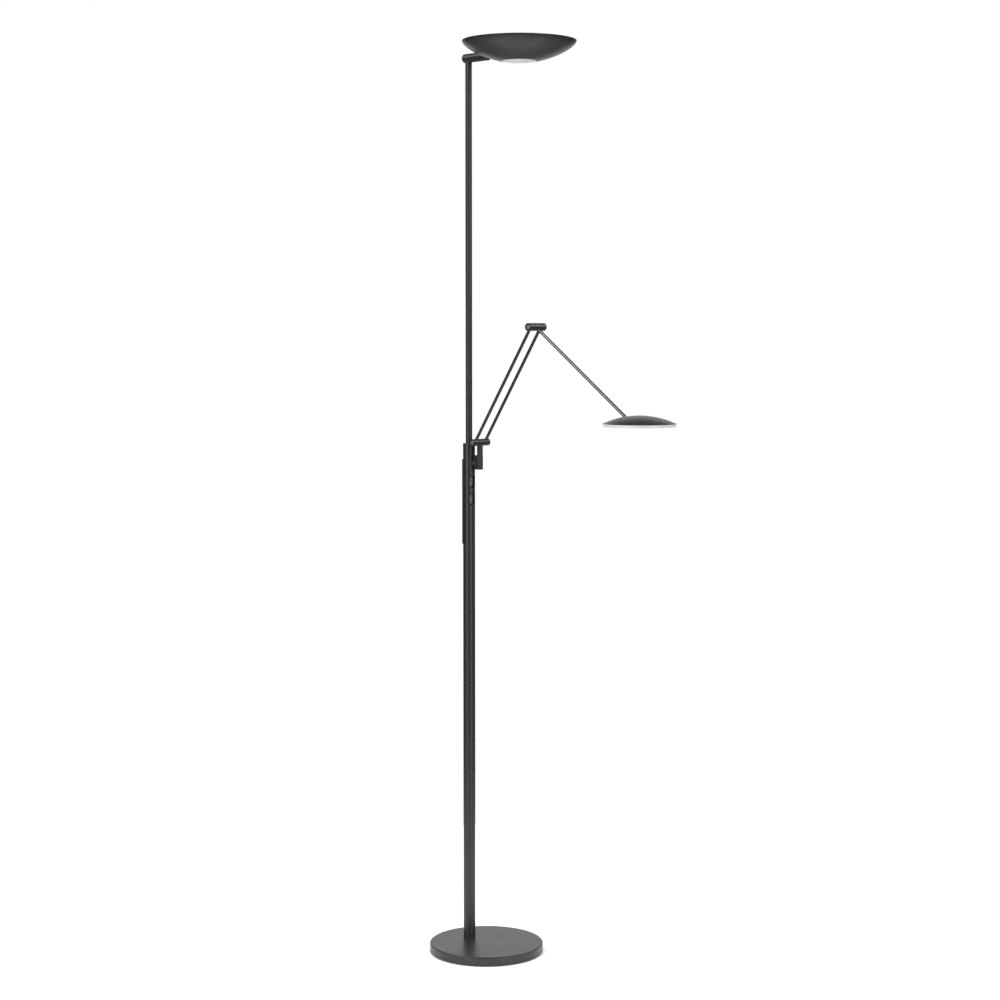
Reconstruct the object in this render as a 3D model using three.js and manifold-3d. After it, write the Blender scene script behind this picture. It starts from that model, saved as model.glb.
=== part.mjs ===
// Torchiere floor lamp with a reading arm.
//
// A round weighted base carries an off-centre column and a thin upper pole. A dish-shaped uplight with a
// small downward lens sits on a horizontal bracket that swivels on the pole. A post beside the column top
// carries the reading arm: two parallel rods, an elbow, one single rod and a shallow domed reading head.
// Two dimmer paddles are recessed in the front of the column, and a half-round cover closes its back.
//
// Millimetres, +Z up, +X towards the dish and the reading head. The origin is the centre of the base,
// on the floor.

import * as THREE from 'three';
import { mergeVertices } from 'three/addons/utils/BufferGeometryUtils.js';
import Module from 'manifold-3d';

const wasm = await Module();
wasm.setup();

// ---------------------------------------------------------------- driving dimensions

const overallHeight = 1800;        // floor to the rim of the dish
const seat = 0.1;                  // clearance between pieces that rest on each other
const looseFit = 0.3;              // clearance of pieces that are plugged into a tilted neighbour

// base
const baseRadius = 113.5;
const baseHeight = 18.5;           // floor to the top of the base cover
const baseSheet = 1.5;
const baseEdgeRound = 2;
const baseFloorGap = 1;            // shadow gap under the skirt of the cover
const feltThickness = 1.5;
const feltInset = 4;
const footWeb = 6;                 // metal left above the foot nut
const footPocketRadius = 14;
const studRadius = 5;
const studFit = 0.5;               // clearance of the stud in the base
const studRecess = 0.5;            // end of the stud above the weight's underside
const footNutAcrossFlats = 17;
const footNutHeight = 6;
const footWasherThickness = 2;
const footWasherInset = 3;         // washer edge inside the pocket's wall
const cordHoleRadius = 2.6;
const glandNeckRadius = 4.5;
const glandFlangeRadius = 6;
const glandFlangeThickness = 2;
const glandHeight = 8;
const glandNeckLength = 7;
const glandChamfer = 0.8;
const glandHoleDepth = 8;          // how far the gland's hole runs into the base

// column and pole
const columnSetback = 47;          // column axis behind the centre of the base
const columnRadius = 12;
const columnWall = 1.5;
const columnTopHeight = 1021.4;    // floor to the top of the column cap
const capFlange = 1.6;
const capPlugLength = 18;
const capChamfer = 0.5;
const footPlugLength = 25;
const poleRadius = 6.6;
const poleWall = 1.2;
const spigotRadius = 3;
const spigotPlugLength = 30;
const spigotStandout = 7;

// rear cover
const coverThickness = 1.8;
const coverTopHeight = 989.9;
const coverLength = 169.5;
const coverHalfAngle = THREE.MathUtils.degToRad(88);
const coverScrewInset = 9;
const coverScrewRadius = 1.5;
const coverScrewHeadRadius = 2.8;
const coverScrewHeadDepth = 1.2;
const coverScrewReach = 1.5;       // screw end inside the column's wall
const rearWindowWidth = 12;
const rearWindowMargin = 18;       // solid column wall left at each end under the cover

// dimmer paddles
const upperSwitchHeight = 944.3;
const lowerSwitchHeight = 910.1;
const switchSlotFlank = 4.25;      // round of the column left on each side of a dimmer slot
const switchSlotHeight = 24.4;
const switchSlotCorner = 2.5;
const switchHousingWall = 1;
const switchHousingFit = 0.2;      // clearance of the housing in its slot
const switchHousingBack = -1.5;    // back of the housing, forward of the column axis
const switchHousingSink = 0.36;    // the housing's front lies this far inside the slot's nearest edge
const paddleSink = 3.8;            // crests of the two humps, behind the front of the housing
const paddleHumpDepth = 1.1;
const paddleHumpSpacing = 9;
const paddleThickness = 2.2;
const paddleGap = 0.7;
const paddleSteps = 24;
const paddleEndLift = 0.5;         // the paddle is this much thinner at its ends
const dimmerBoardThickness = 1.6;
const dimmerBoardInset = 1;        // board edge inside the slot's edge
const driverClearance = 1.6;       // between the driver's corners and the column's wall
const driverSlimness = 0.786;      // depth of the driver over its width
const driverLength = 150;

// arm mount beside the column
const postStandout = 18;           // post axis forward of the column's surface
const postRadius = 5.8;
const postSpigotRadius = 4;
const postUnderBolt = 1;           // top of the post below the hinge bolt
const holderRadius = 6;
const holderBackReach = 7;         // the holder runs this far back from the post axis
const holderBottomHeight = 970;
const holderLength = 28.3;
const holderFloor = 4;
const bossRadius = 5.2;
const bossHeight = 981;
const grubAboveBoss = 6;
const mountScrewRadius = 2;
const mountScrewHeadRadius = 3.6;
const mountScrewHeadLength = 1.8;
const mountScrewSeat = 1.2;        // head this far inside the round of the column's wall
const mountScrewStop = 3;          // screw end short of the post
const grubRadius = 2;
const grubLength = 3;
const grubSocketDepth = 0.9;

// reading arm
const armPivotHeight = 1024.2;
const lowerArmAngle = THREE.MathUtils.degToRad(56.8);    // above the horizontal
const lowerArmLength = 272;
const upperArmAngle = THREE.MathUtils.degToRad(36.7);    // below the horizontal
const upperArmLength = 290;
const rodRadius = 3;
const rodSpacing = 28.4;
const lowerBarRadius = 7;
const elbowBarRadius = 7.6;
const barLength = 47;
const hubLength = 17.4;
const knuckleGap = 0.4;
const boltRadius = 2.5;
const boltHeadRadius = 4.2;
const boltHeadLength = 3.4;
const boltHeadChamfer = 0.5;
const nutThinner = 0.6;            // the nut is this much thinner than the bolt's head
const boltRecess = 4.2;
const boltSocketAcrossFlats = 3;
const boltSocketDepth = 1.8;
const rodEndClearance = 3.6;       // rod ends stop this far from a bar's axis

// reading head
const headRadius = 68.6;
const headDomeHeight = 15.3;
const headShell = 1.5;
const headHingeInset = 26;         // hinge axis behind the centre of the dome
const headEyeMargin = 2.7;         // the eye's radius is a third of the dome's height less this
const headEyeClearance = 1.67;     // over the eye, to the inside of the dome
const headPinRadius = 1.5;
const headEarThickness = 2.5;
const headSlotSide = 0.7;          // clearance of the slot on each side of the rod
const headSlotBack = 19;           // slot runs from behind the hinge axis to in front of it
const headSlotFront = 4.6;
const headPlateThickness = 1.5;
const headBoardThickness = 1;
const headBoardInset = 6;          // board edge inside the plate's edge
const headTieThickness = 1.6;
const headTieGap = 0.6;            // between the eye's end and the tie in front of it
const headTieDepth = 5.4;
const headDiffuserDepth = 5.6;
const headDiffuserWall = 2;
const headDiffuserInset = 0.4;     // diffuser edge inside the dome's rim
const diffuserCorner = 1.5;

// uplight
const dishRadius = 110.6;
const dishDepth = 42.6;
const dishShell = 1.5;
const dishReach = 135;             // dish centre forward of the pole axis
const dishCurveAcross = 1.64;      // exponents of the bowl's superellipse
const dishCurveDown = 1.54;
const bracketShoulder = 2.1;       // metal of the bracket on each side of the pole
const bracketDrop = 21.4;          // bracket axis below the rim
const bracketTail = 10.8;           // bracket end behind the pole axis
const bracketNoseReach = 3.84;     // bracket end inside the bowl's wall
const bracketScrewInset = 4.5;     // fixing screw behind the nose
const bracketScrewHeadLength = 2;
const bracketScrewStop = 1;        // screw end above the bracket's axis
const bracketChamfer = 0.8;
const bracketGrooveHeight = 1.2;
const bracketGrooveDepth = 0.6;
const bracketSocketDepth = 5.4;    // pole socket, up from the bracket's underside
const topDiffuserRecess = 3;
const topDiffuserThickness = 2.5;
const topDiffuserClearance = 1;    // diffuser edge to the bowl's inside
const dishPlateClearance = 3.5;    // between the plate and the bowl's inside
const dishPlateThickness = 2;
const dishBoardInnerRadius = 36;
const dishBoardInset = 15;         // board edge inside the plate's edge
const dishBoardThickness = 1;
const lensRadius = 33.5;
const lensBulge = 0.9;
const lensThickness = 2;
const lensFlange = 3.2;
const lensFlangeLift = 1.2;        // flange above the inner edge of the bowl's opening
const lowerCarrierRadius = 29;
const lowerCarrierDepth = 29;
const lowerBoardRadius = 24;
const standoffRadius = 3;

// facets
const wideFacets = 48;
const tubeFacets = 28;
const smallFacets = 16;

// ---------------------------------------------------------------- finishes

const satinGraphite = { color: 0x4b4b4a, roughness: 0.38, metalness: 0.75 };
const paleGraphite = { color: 0x6b6b6a, roughness: 0.35, metalness: 0.75 };
const brightSteel = { color: 0xb9b9b7, roughness: 0.25, metalness: 1 };
const zincSteel = { color: 0x8f9296, roughness: 0.45, metalness: 1 };
const castIron = { color: 0x3a3b3c, roughness: 0.85, metalness: 0.6 };
const blackPlastic = { color: 0x151515, roughness: 0.45, metalness: 0 };
const greyPlastic = { color: 0x5d5d5c, roughness: 0.5, metalness: 0 };
const blackFelt = { color: 0x1d1d1e, roughness: 0.95, metalness: 0 };
const opalAcrylic = { color: 0xe4e4e1, roughness: 0.35, metalness: 0 };
const rawAluminium = { color: 0xc3c6c9, roughness: 0.5, metalness: 1 };
const whiteBoard = { color: 0xeeeeea, roughness: 0.55, metalness: 0 };
const greenBoard = { color: 0x2d5b3b, roughness: 0.5, metalness: 0 };

// ---------------------------------------------------------------- shape helpers

// Keeps only merged positions, drops collapsed triangles and turns every face outwards.
function closed(geometry) {
  const bare = geometry.clone();
  bare.deleteAttribute('normal');
  bare.deleteAttribute('uv');
  const merged = mergeVertices(bare, 1e-4);
  const point = merged.attributes.position;
  const corners = [0, 1, 2].map(() => new THREE.Vector3());
  const kept = [];
  let volume = 0;
  for (let i = 0; i < merged.index.count; i += 3) {
    const [a, b, c] = [0, 1, 2].map((k) => merged.index.getX(i + k));
    if (a !== b && b !== c && c !== a) {
      kept.push(a, b, c);
      [a, b, c].forEach((id, k) => corners[k].fromBufferAttribute(point, id));
      volume += corners[0].dot(corners[1].clone().cross(corners[2]));
    }
  }
  merged.setIndex(volume < 0 ? kept.reverse() : kept);
  return merged;
}

function toSolid(geometry) {
  const mesh = closed(geometry);
  return new wasm.Manifold(new wasm.Mesh({
    numProp: 3,
    vertProperties: new Float32Array(mesh.attributes.position.array),
    triVerts: new Uint32Array(mesh.index.array),
  }));
}

function toGeometry(solid) {
  const mesh = solid.getMesh();
  const geometry = new THREE.BufferGeometry();
  const points = new Float32Array(mesh.vertProperties);
  geometry.setAttribute('position', new THREE.BufferAttribute(points, 3));
  geometry.setIndex(new THREE.BufferAttribute(new Uint32Array(mesh.triVerts), 1));
  return geometry;
}

function cut(body, ...tools) {
  return toGeometry(tools.reduce((left, tool) => left.subtract(toSolid(tool)), toSolid(body)));
}

function join(body, ...others) {
  return toGeometry(others.reduce((sum, other) => sum.add(toSolid(other)), toSolid(body)));
}

// A turned shape about +Z from [radius, height] pairs that start and end on the axis.
function turned(pairs, facets) {
  const outline = pairs.map(([radius, height]) => new THREE.Vector2(radius, height));
  return closed(new THREE.LatheGeometry(outline, facets).rotateX(Math.PI / 2));
}

// A turned ring: the outline closes on itself away from the axis.
const turnedRing = (pairs, facets) => turned([...pairs, pairs[0]], facets);

const rod = (radius, from, to, facets = smallFacets) =>
  turned([[0, from], [radius, from], [radius, to], [0, to]], facets);

const tube = (outer, inner, from, to, facets = smallFacets) =>
  turnedRing([[inner, from], [outer, from], [outer, to], [inner, to]], facets);

// Lays a +Z shape along +X or +Y.
const alongX = (geometry) => geometry.rotateY(Math.PI / 2);
const alongY = (geometry) => geometry.rotateX(-Math.PI / 2);

function block([x0, x1], [y0, y1], [z0, z1]) {
  const box = new THREE.BoxGeometry(x1 - x0, y1 - y0, z1 - z0);
  return box.translate((x0 + x1) / 2, (y0 + y1) / 2, (z0 + z1) / 2);
}

const hexagon = (acrossFlats, from, to) => rod(acrossFlats / Math.sqrt(3), from, to, 6);

// A flat outline in the plane of +Y and +Z, given depth along +X.
function plateFacingX(outline, from, to, curveSegments = 5) {
  const slab = new THREE.ExtrudeGeometry(outline, { depth: to - from, bevelEnabled: false, curveSegments });
  return closed(slab.rotateZ(Math.PI / 2).rotateY(Math.PI / 2).translate(from, 0, 0));
}

function roundedRectangle(width, height, corner) {
  const [w, h] = [width / 2 - corner, height / 2 - corner];
  const outline = new THREE.Shape();
  outline.absarc(w, h, corner, 0, Math.PI / 2);
  outline.absarc(-w, h, corner, Math.PI / 2, Math.PI);
  outline.absarc(-w, -h, corner, Math.PI, 1.5 * Math.PI);
  outline.absarc(w, -h, corner, 1.5 * Math.PI, 2 * Math.PI);
  return outline;
}

// Points of a circular arc between two angles, for a turned outline.
function arcPoints(centre, radius, fromAngle, toAngle, steps) {
  return Array.from({ length: steps + 1 }, (_, i) => {
    const angle = fromAngle + ((toAngle - fromAngle) * i) / steps;
    return [centre[0] + radius * Math.cos(angle), centre[1] + radius * Math.sin(angle)];
  });
}

function piece(group, name, geometry, finish) {
  const mesh = new THREE.Mesh(geometry, new THREE.MeshStandardMaterial(finish));
  mesh.name = name;
  group.add(mesh);
}

function groupAt(parent, x, y, z) {
  const group = new THREE.Group();
  group.position.set(x, y, z);
  parent.add(group);
  return group;
}

// ---------------------------------------------------------------- base

const weightBottom = feltThickness + seat;
const weightTop = baseHeight - baseSheet - seat;
const pocketCeiling = weightTop - footWeb;
const washerTop = pocketCeiling - seat;
const nutTop = washerTop - footWasherThickness - seat;
const studBottom = weightBottom + studRecess;
const studHoleRadius = studRadius + studFit;

function buildBase(lamp) {
  const base = groupAt(lamp, 0, 0, 0);
  const column = [-columnSetback, 0];
  const studHole = rod(studHoleRadius, -1, baseHeight + 1).translate(...column, 0);
  const glandHole = alongX(rod(glandNeckRadius + seat, -baseRadius - 1, -baseRadius + glandHoleDepth))
    .translate(0, 0, glandHeight);

  const innerRadius = baseRadius - baseSheet;
  const edgeCentre = [baseRadius - baseEdgeRound, baseHeight - baseEdgeRound];
  const edge = arcPoints(edgeCentre, baseEdgeRound, 0, Math.PI / 2, 4);
  const cover = turned([
    [0, baseHeight - baseSheet],
    [innerRadius, baseHeight - baseSheet],
    [innerRadius, baseFloorGap],
    [baseRadius, baseFloorGap],
    ...edge,
    [0, baseHeight],
  ], wideFacets);
  piece(base, 'base_cover', cut(cover, studHole, glandHole), satinGraphite);

  // cast weight with a pocket for the foot nut and a channel for the lead
  const weight = rod(innerRadius - seat, weightBottom, weightTop, wideFacets);
  const pocket = rod(footPocketRadius, weightBottom - 1, pocketCeiling).translate(...column, 0);
  const channel = block(
    [-baseRadius, -columnSetback],
    [-glandFlangeRadius, glandFlangeRadius],
    [weightBottom - 1, glandHeight + glandNeckRadius + seat],
  );
  const washerSeat = rod(footPocketRadius, pocketCeiling, pocketCeiling + 3).translate(...column, 0);
  const clearChannel = cut(channel, washerSeat);
  piece(base, 'base_weight', cut(weight, pocket, clearChannel, studHole), castIron);

  piece(base, 'base_felt', rod(baseRadius - feltInset, 0, feltThickness, wideFacets), blackFelt);

  const gland = turnedRing([
    [cordHoleRadius, 0],
    [glandFlangeRadius - glandChamfer, 0],
    [glandFlangeRadius, glandChamfer],
    [glandFlangeRadius, glandFlangeThickness],
    [glandNeckRadius, glandFlangeThickness],
    [glandNeckRadius, glandNeckLength],
    [cordHoleRadius, glandNeckLength],
  ], smallFacets);
  const glandBack = -baseRadius - glandFlangeThickness - looseFit;
  piece(base, 'cord_gland', alongX(gland).translate(glandBack, 0, glandHeight), blackPlastic);

  const foot = groupAt(base, -columnSetback, 0, 0);
  const washer = tube(
    footPocketRadius - footWasherInset, studRadius + 2 * seat, washerTop - footWasherThickness, washerTop,
  );
  piece(foot, 'foot_washer', washer, zincSteel);
  const nutBore = rod(studRadius + seat, 0, baseHeight);
  const nut = hexagon(footNutAcrossFlats, nutTop - footNutHeight, nutTop);
  piece(foot, 'foot_nut', cut(nut, nutBore), zincSteel);
}

// ---------------------------------------------------------------- column and pole

const columnBottom = baseHeight + seat;
const columnTubeTop = columnTopHeight - capFlange - seat;
const columnInner = columnRadius - columnWall;
const switchSlotWidth = 2 * (columnRadius - switchSlotFlank);

// Radius of a bowl's wall at a depth below its rim.
function bowlRadiusAt(radius, fullDepth, depth) {
  return radius * (1 - (depth / fullDepth) ** dishCurveDown) ** (1 / dishCurveAcross);
}

const bracketRadius = poleRadius + bracketShoulder;
const bracketNose = dishReach - bowlRadiusAt(dishRadius, dishDepth, bracketDrop) + bracketNoseReach;
const bracketAxisHeight = overallHeight - bracketDrop;
const poleTop = bracketAxisHeight - bracketRadius + bracketSocketDepth - seat;

const poleBottom = columnTopHeight - capFlange - capPlugLength;
const coverBottomHeight = coverTopHeight - coverLength;
const coverInner = columnRadius + seat;
const coverOuter = columnRadius + coverThickness + seat;
const coverScrewHeights = {
  rear_cover_screw_top: coverTopHeight - coverScrewInset,
  rear_cover_screw_bottom: coverBottomHeight + coverScrewInset,
};

const switchSlot = (height) => plateFacingX(
  roundedRectangle(switchSlotWidth, switchSlotHeight, switchSlotCorner), 0, columnRadius + 1,
).translate(0, 0, height);

const rearScrewHole = (height) => alongX(
  rod(coverScrewRadius + seat, -coverOuter - 1, -columnInner + coverScrewReach + seat),
).translate(0, 0, height);

function buildColumn(lamp) {
  const stem = groupAt(lamp, -columnSetback, 0, 0);

  const mountHole = alongX(rod(mountScrewRadius + seat, 0, columnRadius + 1)).translate(0, 0, bossHeight);
  const window = block(
    [-columnRadius - 1, -columnInner / 2],
    [-rearWindowWidth / 2, rearWindowWidth / 2],
    [coverBottomHeight + rearWindowMargin, coverTopHeight - rearWindowMargin],
  );
  const shaft = tube(columnRadius, columnInner, columnBottom, columnTubeTop, tubeFacets);
  const screwHoles = Object.values(coverScrewHeights).map(rearScrewHole);
  const slots = [upperSwitchHeight, lowerSwitchHeight].map(switchSlot);
  piece(stem, 'column', cut(shaft, ...slots, mountHole, window, ...screwHoles), satinGraphite);

  const plug = turnedRing([
    [cordHoleRadius, studBottom],
    [studRadius, studBottom],
    [studRadius, columnBottom],
    [columnInner - seat, columnBottom],
    [columnInner - seat, columnBottom + footPlugLength],
    [cordHoleRadius, columnBottom + footPlugLength],
  ], smallFacets);
  piece(stem, 'foot_plug', plug, zincSteel);

  const poleFit = poleRadius + seat;
  const flangeBottom = columnTopHeight - capFlange;
  const cap = turnedRing([
    [poleFit, flangeBottom - capPlugLength],
    [columnInner - seat, flangeBottom - capPlugLength],
    [columnInner - seat, flangeBottom],
    [columnRadius, flangeBottom],
    [columnRadius, columnTopHeight - capChamfer],
    [columnRadius - capChamfer, columnTopHeight],
    [poleFit, columnTopHeight],
  ], tubeFacets);
  piece(stem, 'column_cap', cap, satinGraphite);

  const pole = tube(poleRadius, poleRadius - poleWall, poleBottom, poleTop, tubeFacets);
  piece(stem, 'upper_pole', pole, satinGraphite);

  const plugRadius = poleRadius - poleWall - seat;
  const spigot = turned([
    [0, poleTop - spigotPlugLength],
    [plugRadius, poleTop - spigotPlugLength],
    [plugRadius, poleTop],
    [spigotRadius, poleTop],
    [spigotRadius, poleTop + spigotStandout],
    [0, poleTop + spigotStandout],
  ], smallFacets);
  piece(stem, 'pole_spigot', spigot, zincSteel);

  buildRearCover(stem);
  buildElectronics(stem);
}

function buildRearCover(stem) {
  const section = new THREE.Shape();
  section.absarc(0, 0, coverOuter, Math.PI - coverHalfAngle, Math.PI + coverHalfAngle);
  section.absarc(0, 0, coverInner, Math.PI + coverHalfAngle, Math.PI - coverHalfAngle, true);
  const shell = new THREE.ExtrudeGeometry(section, {
    depth: coverLength, bevelEnabled: false, curveSegments: 12,
  }).translate(0, 0, coverBottomHeight);

  const countersinks = Object.values(coverScrewHeights).map((height) => {
    const cone = rod(coverScrewHeadRadius + seat, -coverOuter - 1, -coverOuter + coverScrewHeadDepth + seat);
    return alongX(cone).translate(0, 0, height);
  });
  const holes = Object.values(coverScrewHeights).map(rearScrewHole);
  piece(stem, 'rear_cover', cut(shell, ...countersinks, ...holes), satinGraphite);

  for (const [name, height] of Object.entries(coverScrewHeights)) {
    const screw = turned([
      [0, -coverOuter],
      [coverScrewHeadRadius, -coverOuter],
      [coverScrewHeadRadius, -coverOuter + coverScrewHeadDepth],
      [coverScrewRadius, -coverOuter + coverScrewHeadDepth],
      [coverScrewRadius, -columnInner + coverScrewReach],
      [0, -columnInner + coverScrewReach],
    ], smallFacets);
    piece(stem, name, alongX(screw).translate(0, 0, height), zincSteel);
  }
}

function buildElectronics(stem) {
  const boardFront = switchHousingBack - seat;
  const boardHalf = switchSlotWidth / 2 - dimmerBoardInset;
  const board = block(
    [boardFront - dimmerBoardThickness, boardFront],
    [-boardHalf, boardHalf],
    [lowerSwitchHeight - switchSlotHeight, upperSwitchHeight + switchSlotHeight / 2],
  );
  piece(stem, 'dimmer_board', board, greenBoard);

  const driverTop = lowerSwitchHeight - 2 * switchSlotHeight;
  const driverHalfWidth = (columnInner - driverClearance) / Math.hypot(1, driverSlimness);
  const driverHalfDepth = driverSlimness * driverHalfWidth;
  const driver = block(
    [-driverHalfDepth, driverHalfDepth],
    [-driverHalfWidth, driverHalfWidth],
    [driverTop - driverLength, driverTop],
  );
  piece(stem, 'led_driver', driver, blackPlastic);
}

// ---------------------------------------------------------------- dimmer paddles

// The housing's front stays inside the column where the slot's edge is nearest.
const switchHousingFront = Math.sqrt(columnRadius ** 2 - (switchSlotWidth / 2) ** 2) - switchHousingSink;
const paddleCrest = switchHousingFront - paddleSink;

// One dimmer: a housing set into the column's slot and a paddle that rocks about +Y inside it.
function buildSwitch(lamp, name, height) {
  const niche = groupAt(lamp, -columnSetback, 0, height);
  const housingWidth = switchSlotWidth - 2 * switchHousingFit;
  const housingHeight = switchSlotHeight - 2 * switchHousingFit;
  const outline = roundedRectangle(housingWidth, housingHeight, switchSlotCorner);
  const hollow = roundedRectangle(
    housingWidth - 2 * switchHousingWall,
    housingHeight - 2 * switchHousingWall,
    switchSlotCorner - switchHousingWall,
  );
  const floor = switchHousingBack + switchHousingWall;
  const shell = plateFacingX(outline, switchHousingBack, switchHousingFront);
  const inside = plateFacingX(hollow, floor, switchHousingFront + 1);
  piece(niche, `${name}_housing`, cut(shell, inside), blackPlastic);

  // the paddle's front is a double hump, and its back a shallow roof that leaves room to rock
  const halfHeight = housingHeight / 2 - switchHousingWall - paddleGap;
  const halfWidth = housingWidth / 2 - switchHousingWall - paddleGap;
  const front = Array.from({ length: paddleSteps + 1 }, (_, i) => {
    const z = -halfHeight + (2 * halfHeight * i) / paddleSteps;
    const wave = (1 - Math.cos((2 * Math.PI * z) / paddleHumpSpacing)) / 2;
    return new THREE.Vector2(z, paddleCrest - paddleHumpDepth * (1 - wave));
  });
  const backAtEnds = paddleCrest - paddleHumpDepth - paddleThickness + paddleEndLift;
  const back = [
    new THREE.Vector2(halfHeight, backAtEnds),
    new THREE.Vector2(0, floor + paddleGap),
    new THREE.Vector2(-halfHeight, backAtEnds),
  ];
  const profile = new THREE.Shape([...front, ...back]);
  const bar = new THREE.ExtrudeGeometry(profile, { depth: 2 * halfWidth, bevelEnabled: false });
  const upright = closed(bar.translate(0, 0, -halfWidth).applyMatrix4(new THREE.Matrix4().makeBasis(
    new THREE.Vector3(0, 0, 1), new THREE.Vector3(1, 0, 0), new THREE.Vector3(0, 1, 0),
  )));
  piece(niche, `${name}_paddle`, upright, greyPlastic);
}

// ---------------------------------------------------------------- arm mount

const holderTop = holderBottomHeight + holderLength;
const postOffset = columnRadius + postStandout;

function buildArmMount(lamp) {
  const mount = groupAt(lamp, -columnSetback + postOffset, 0, 0);

  // long-hole section: round in front around the post, running back towards the column
  const section = new THREE.Shape();
  section.absarc(0, 0, holderRadius, -Math.PI / 2, Math.PI / 2);
  section.absarc(-holderBackReach, 0, holderRadius, Math.PI / 2, 1.5 * Math.PI);
  const holderBody = new THREE.ExtrudeGeometry(section, {
    depth: holderLength, bevelEnabled: false, curveSegments: 10,
  }).translate(0, 0, holderBottomHeight);
  const boss = alongX(rod(bossRadius, columnRadius / 2 - postOffset, -holderBackReach, tubeFacets))
    .translate(0, 0, bossHeight);
  const bossEnds = [bossHeight - bossRadius - 1, bossHeight + bossRadius + 1];
  const columnSpace = rod(columnRadius + seat, ...bossEnds, tubeFacets).translate(-postOffset, 0, 0);
  const postBore = rod(postSpigotRadius + seat, holderBottomHeight + holderFloor, holderTop + 1);
  const screwBoreEnds = [columnRadius - 1 - postOffset, -postSpigotRadius - mountScrewStop + 1];
  const screwBore = alongX(rod(mountScrewRadius + seat, ...screwBoreEnds)).translate(0, 0, bossHeight);
  const grubBore = alongY(rod(grubRadius + seat, 0, holderRadius + 1))
    .translate(0, 0, bossHeight + grubAboveBoss);
  const holder = cut(join(holderBody, boss), columnSpace, postBore, screwBore, grubBore);
  piece(mount, 'arm_holder', holder, satinGraphite);

  // screw from inside the column into the boss
  const headSeat = columnInner - mountScrewSeat;
  const screwEnd = postOffset - postSpigotRadius - mountScrewStop;
  const screw = turned([
    [0, headSeat - mountScrewHeadLength],
    [mountScrewHeadRadius, headSeat - mountScrewHeadLength],
    [mountScrewHeadRadius, headSeat],
    [mountScrewRadius, headSeat],
    [mountScrewRadius, screwEnd],
    [0, screwEnd],
  ], smallFacets);
  piece(mount, 'arm_mount_screw', alongX(screw).translate(-postOffset, 0, bossHeight), zincSteel);

  const grubInner = postSpigotRadius + 2 * seat;
  const grubBody = rod(grubRadius, grubInner, Math.min(grubInner + grubLength, holderRadius - seat));
  const grubSocket = hexagon(grubRadius, holderRadius - grubSocketDepth, holderRadius + 1);
  const grub = alongY(cut(grubBody, grubSocket)).translate(0, 0, bossHeight + grubAboveBoss);
  piece(mount, 'arm_grub_screw', grub, zincSteel);

  // the post turns in the holder and carries the centre hub of the lower hinge
  const postTop = armPivotHeight - boltRadius - postUnderBolt;
  const post = turned([
    [0, holderBottomHeight + holderFloor + seat],
    [postSpigotRadius, holderBottomHeight + holderFloor + seat],
    [postSpigotRadius, holderTop + 2 * seat],
    [postRadius, holderTop + 2 * seat],
    [postRadius, postTop],
    [0, postTop],
  ], tubeFacets);
  piece(mount, 'swivel_post', post, satinGraphite);

  const hub = alongY(tube(lowerBarRadius, boltRadius + seat, -hubLength / 2, hubLength / 2, tubeFacets))
    .translate(0, 0, armPivotHeight);
  const postSocket = rod(postRadius + seat, armPivotHeight - lowerBarRadius - 1, postTop + seat, tubeFacets);
  piece(mount, 'lower_hinge_hub', cut(hub, postSocket), satinGraphite);
}

// ---------------------------------------------------------------- reading arm

// The two outer knuckles of a hinge bar, with its through bolt and nut. The bar lies along +Y and the rods
// plug in from +X where rodSide is 1, and from -X where it is -1.
function buildHinge(group, name, barRadius, rodSide, finish) {
  const inner = hubLength / 2 + knuckleGap;
  const outer = barLength / 2;
  for (const [side, sign] of [['right', -1], ['left', 1]]) {
    const knuckle = tube(barRadius, boltRadius + seat, inner, outer, tubeFacets);
    const recess = rod(boltHeadRadius + seat, outer - boltRecess, outer + 1);
    const body = alongY(cut(knuckle, recess));
    const socketEnds = [rodSide * (rodEndClearance - looseFit), rodSide * (barRadius + 1)];
    const rodSocket = alongX(rod(rodRadius + looseFit, ...socketEnds)).translate(0, rodSpacing / 2, 0);
    const left = cut(body, rodSocket);
    piece(group, `${name}_knuckle_${side}`, sign < 0 ? closed(left.scale(1, -1, 1)) : left, finish);
  }

  const headInner = -outer + boltRecess - seat;
  const shankEnd = outer - boltRecess + boltHeadLength;
  const bolt = turned([
    [0, headInner - boltHeadLength],
    [boltHeadRadius - boltHeadChamfer, headInner - boltHeadLength],
    [boltHeadRadius, headInner - boltHeadLength + boltHeadChamfer],
    [boltHeadRadius, headInner],
    [boltRadius, headInner],
    [boltRadius, shankEnd],
    [0, shankEnd],
  ], smallFacets);
  const headFace = headInner - boltHeadLength;
  const socket = hexagon(boltSocketAcrossFlats, headFace - 1, headFace + boltSocketDepth);
  piece(group, `${name}_bolt`, alongY(cut(bolt, socket)), brightSteel);

  const nut = hexagon(boltHeadRadius * Math.sqrt(3), outer - boltRecess + seat, shankEnd - nutThinner);
  piece(group, `${name}_nut`, alongY(cut(nut, rod(boltRadius + seat, 0, outer + 1))), zincSteel);
}

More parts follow.
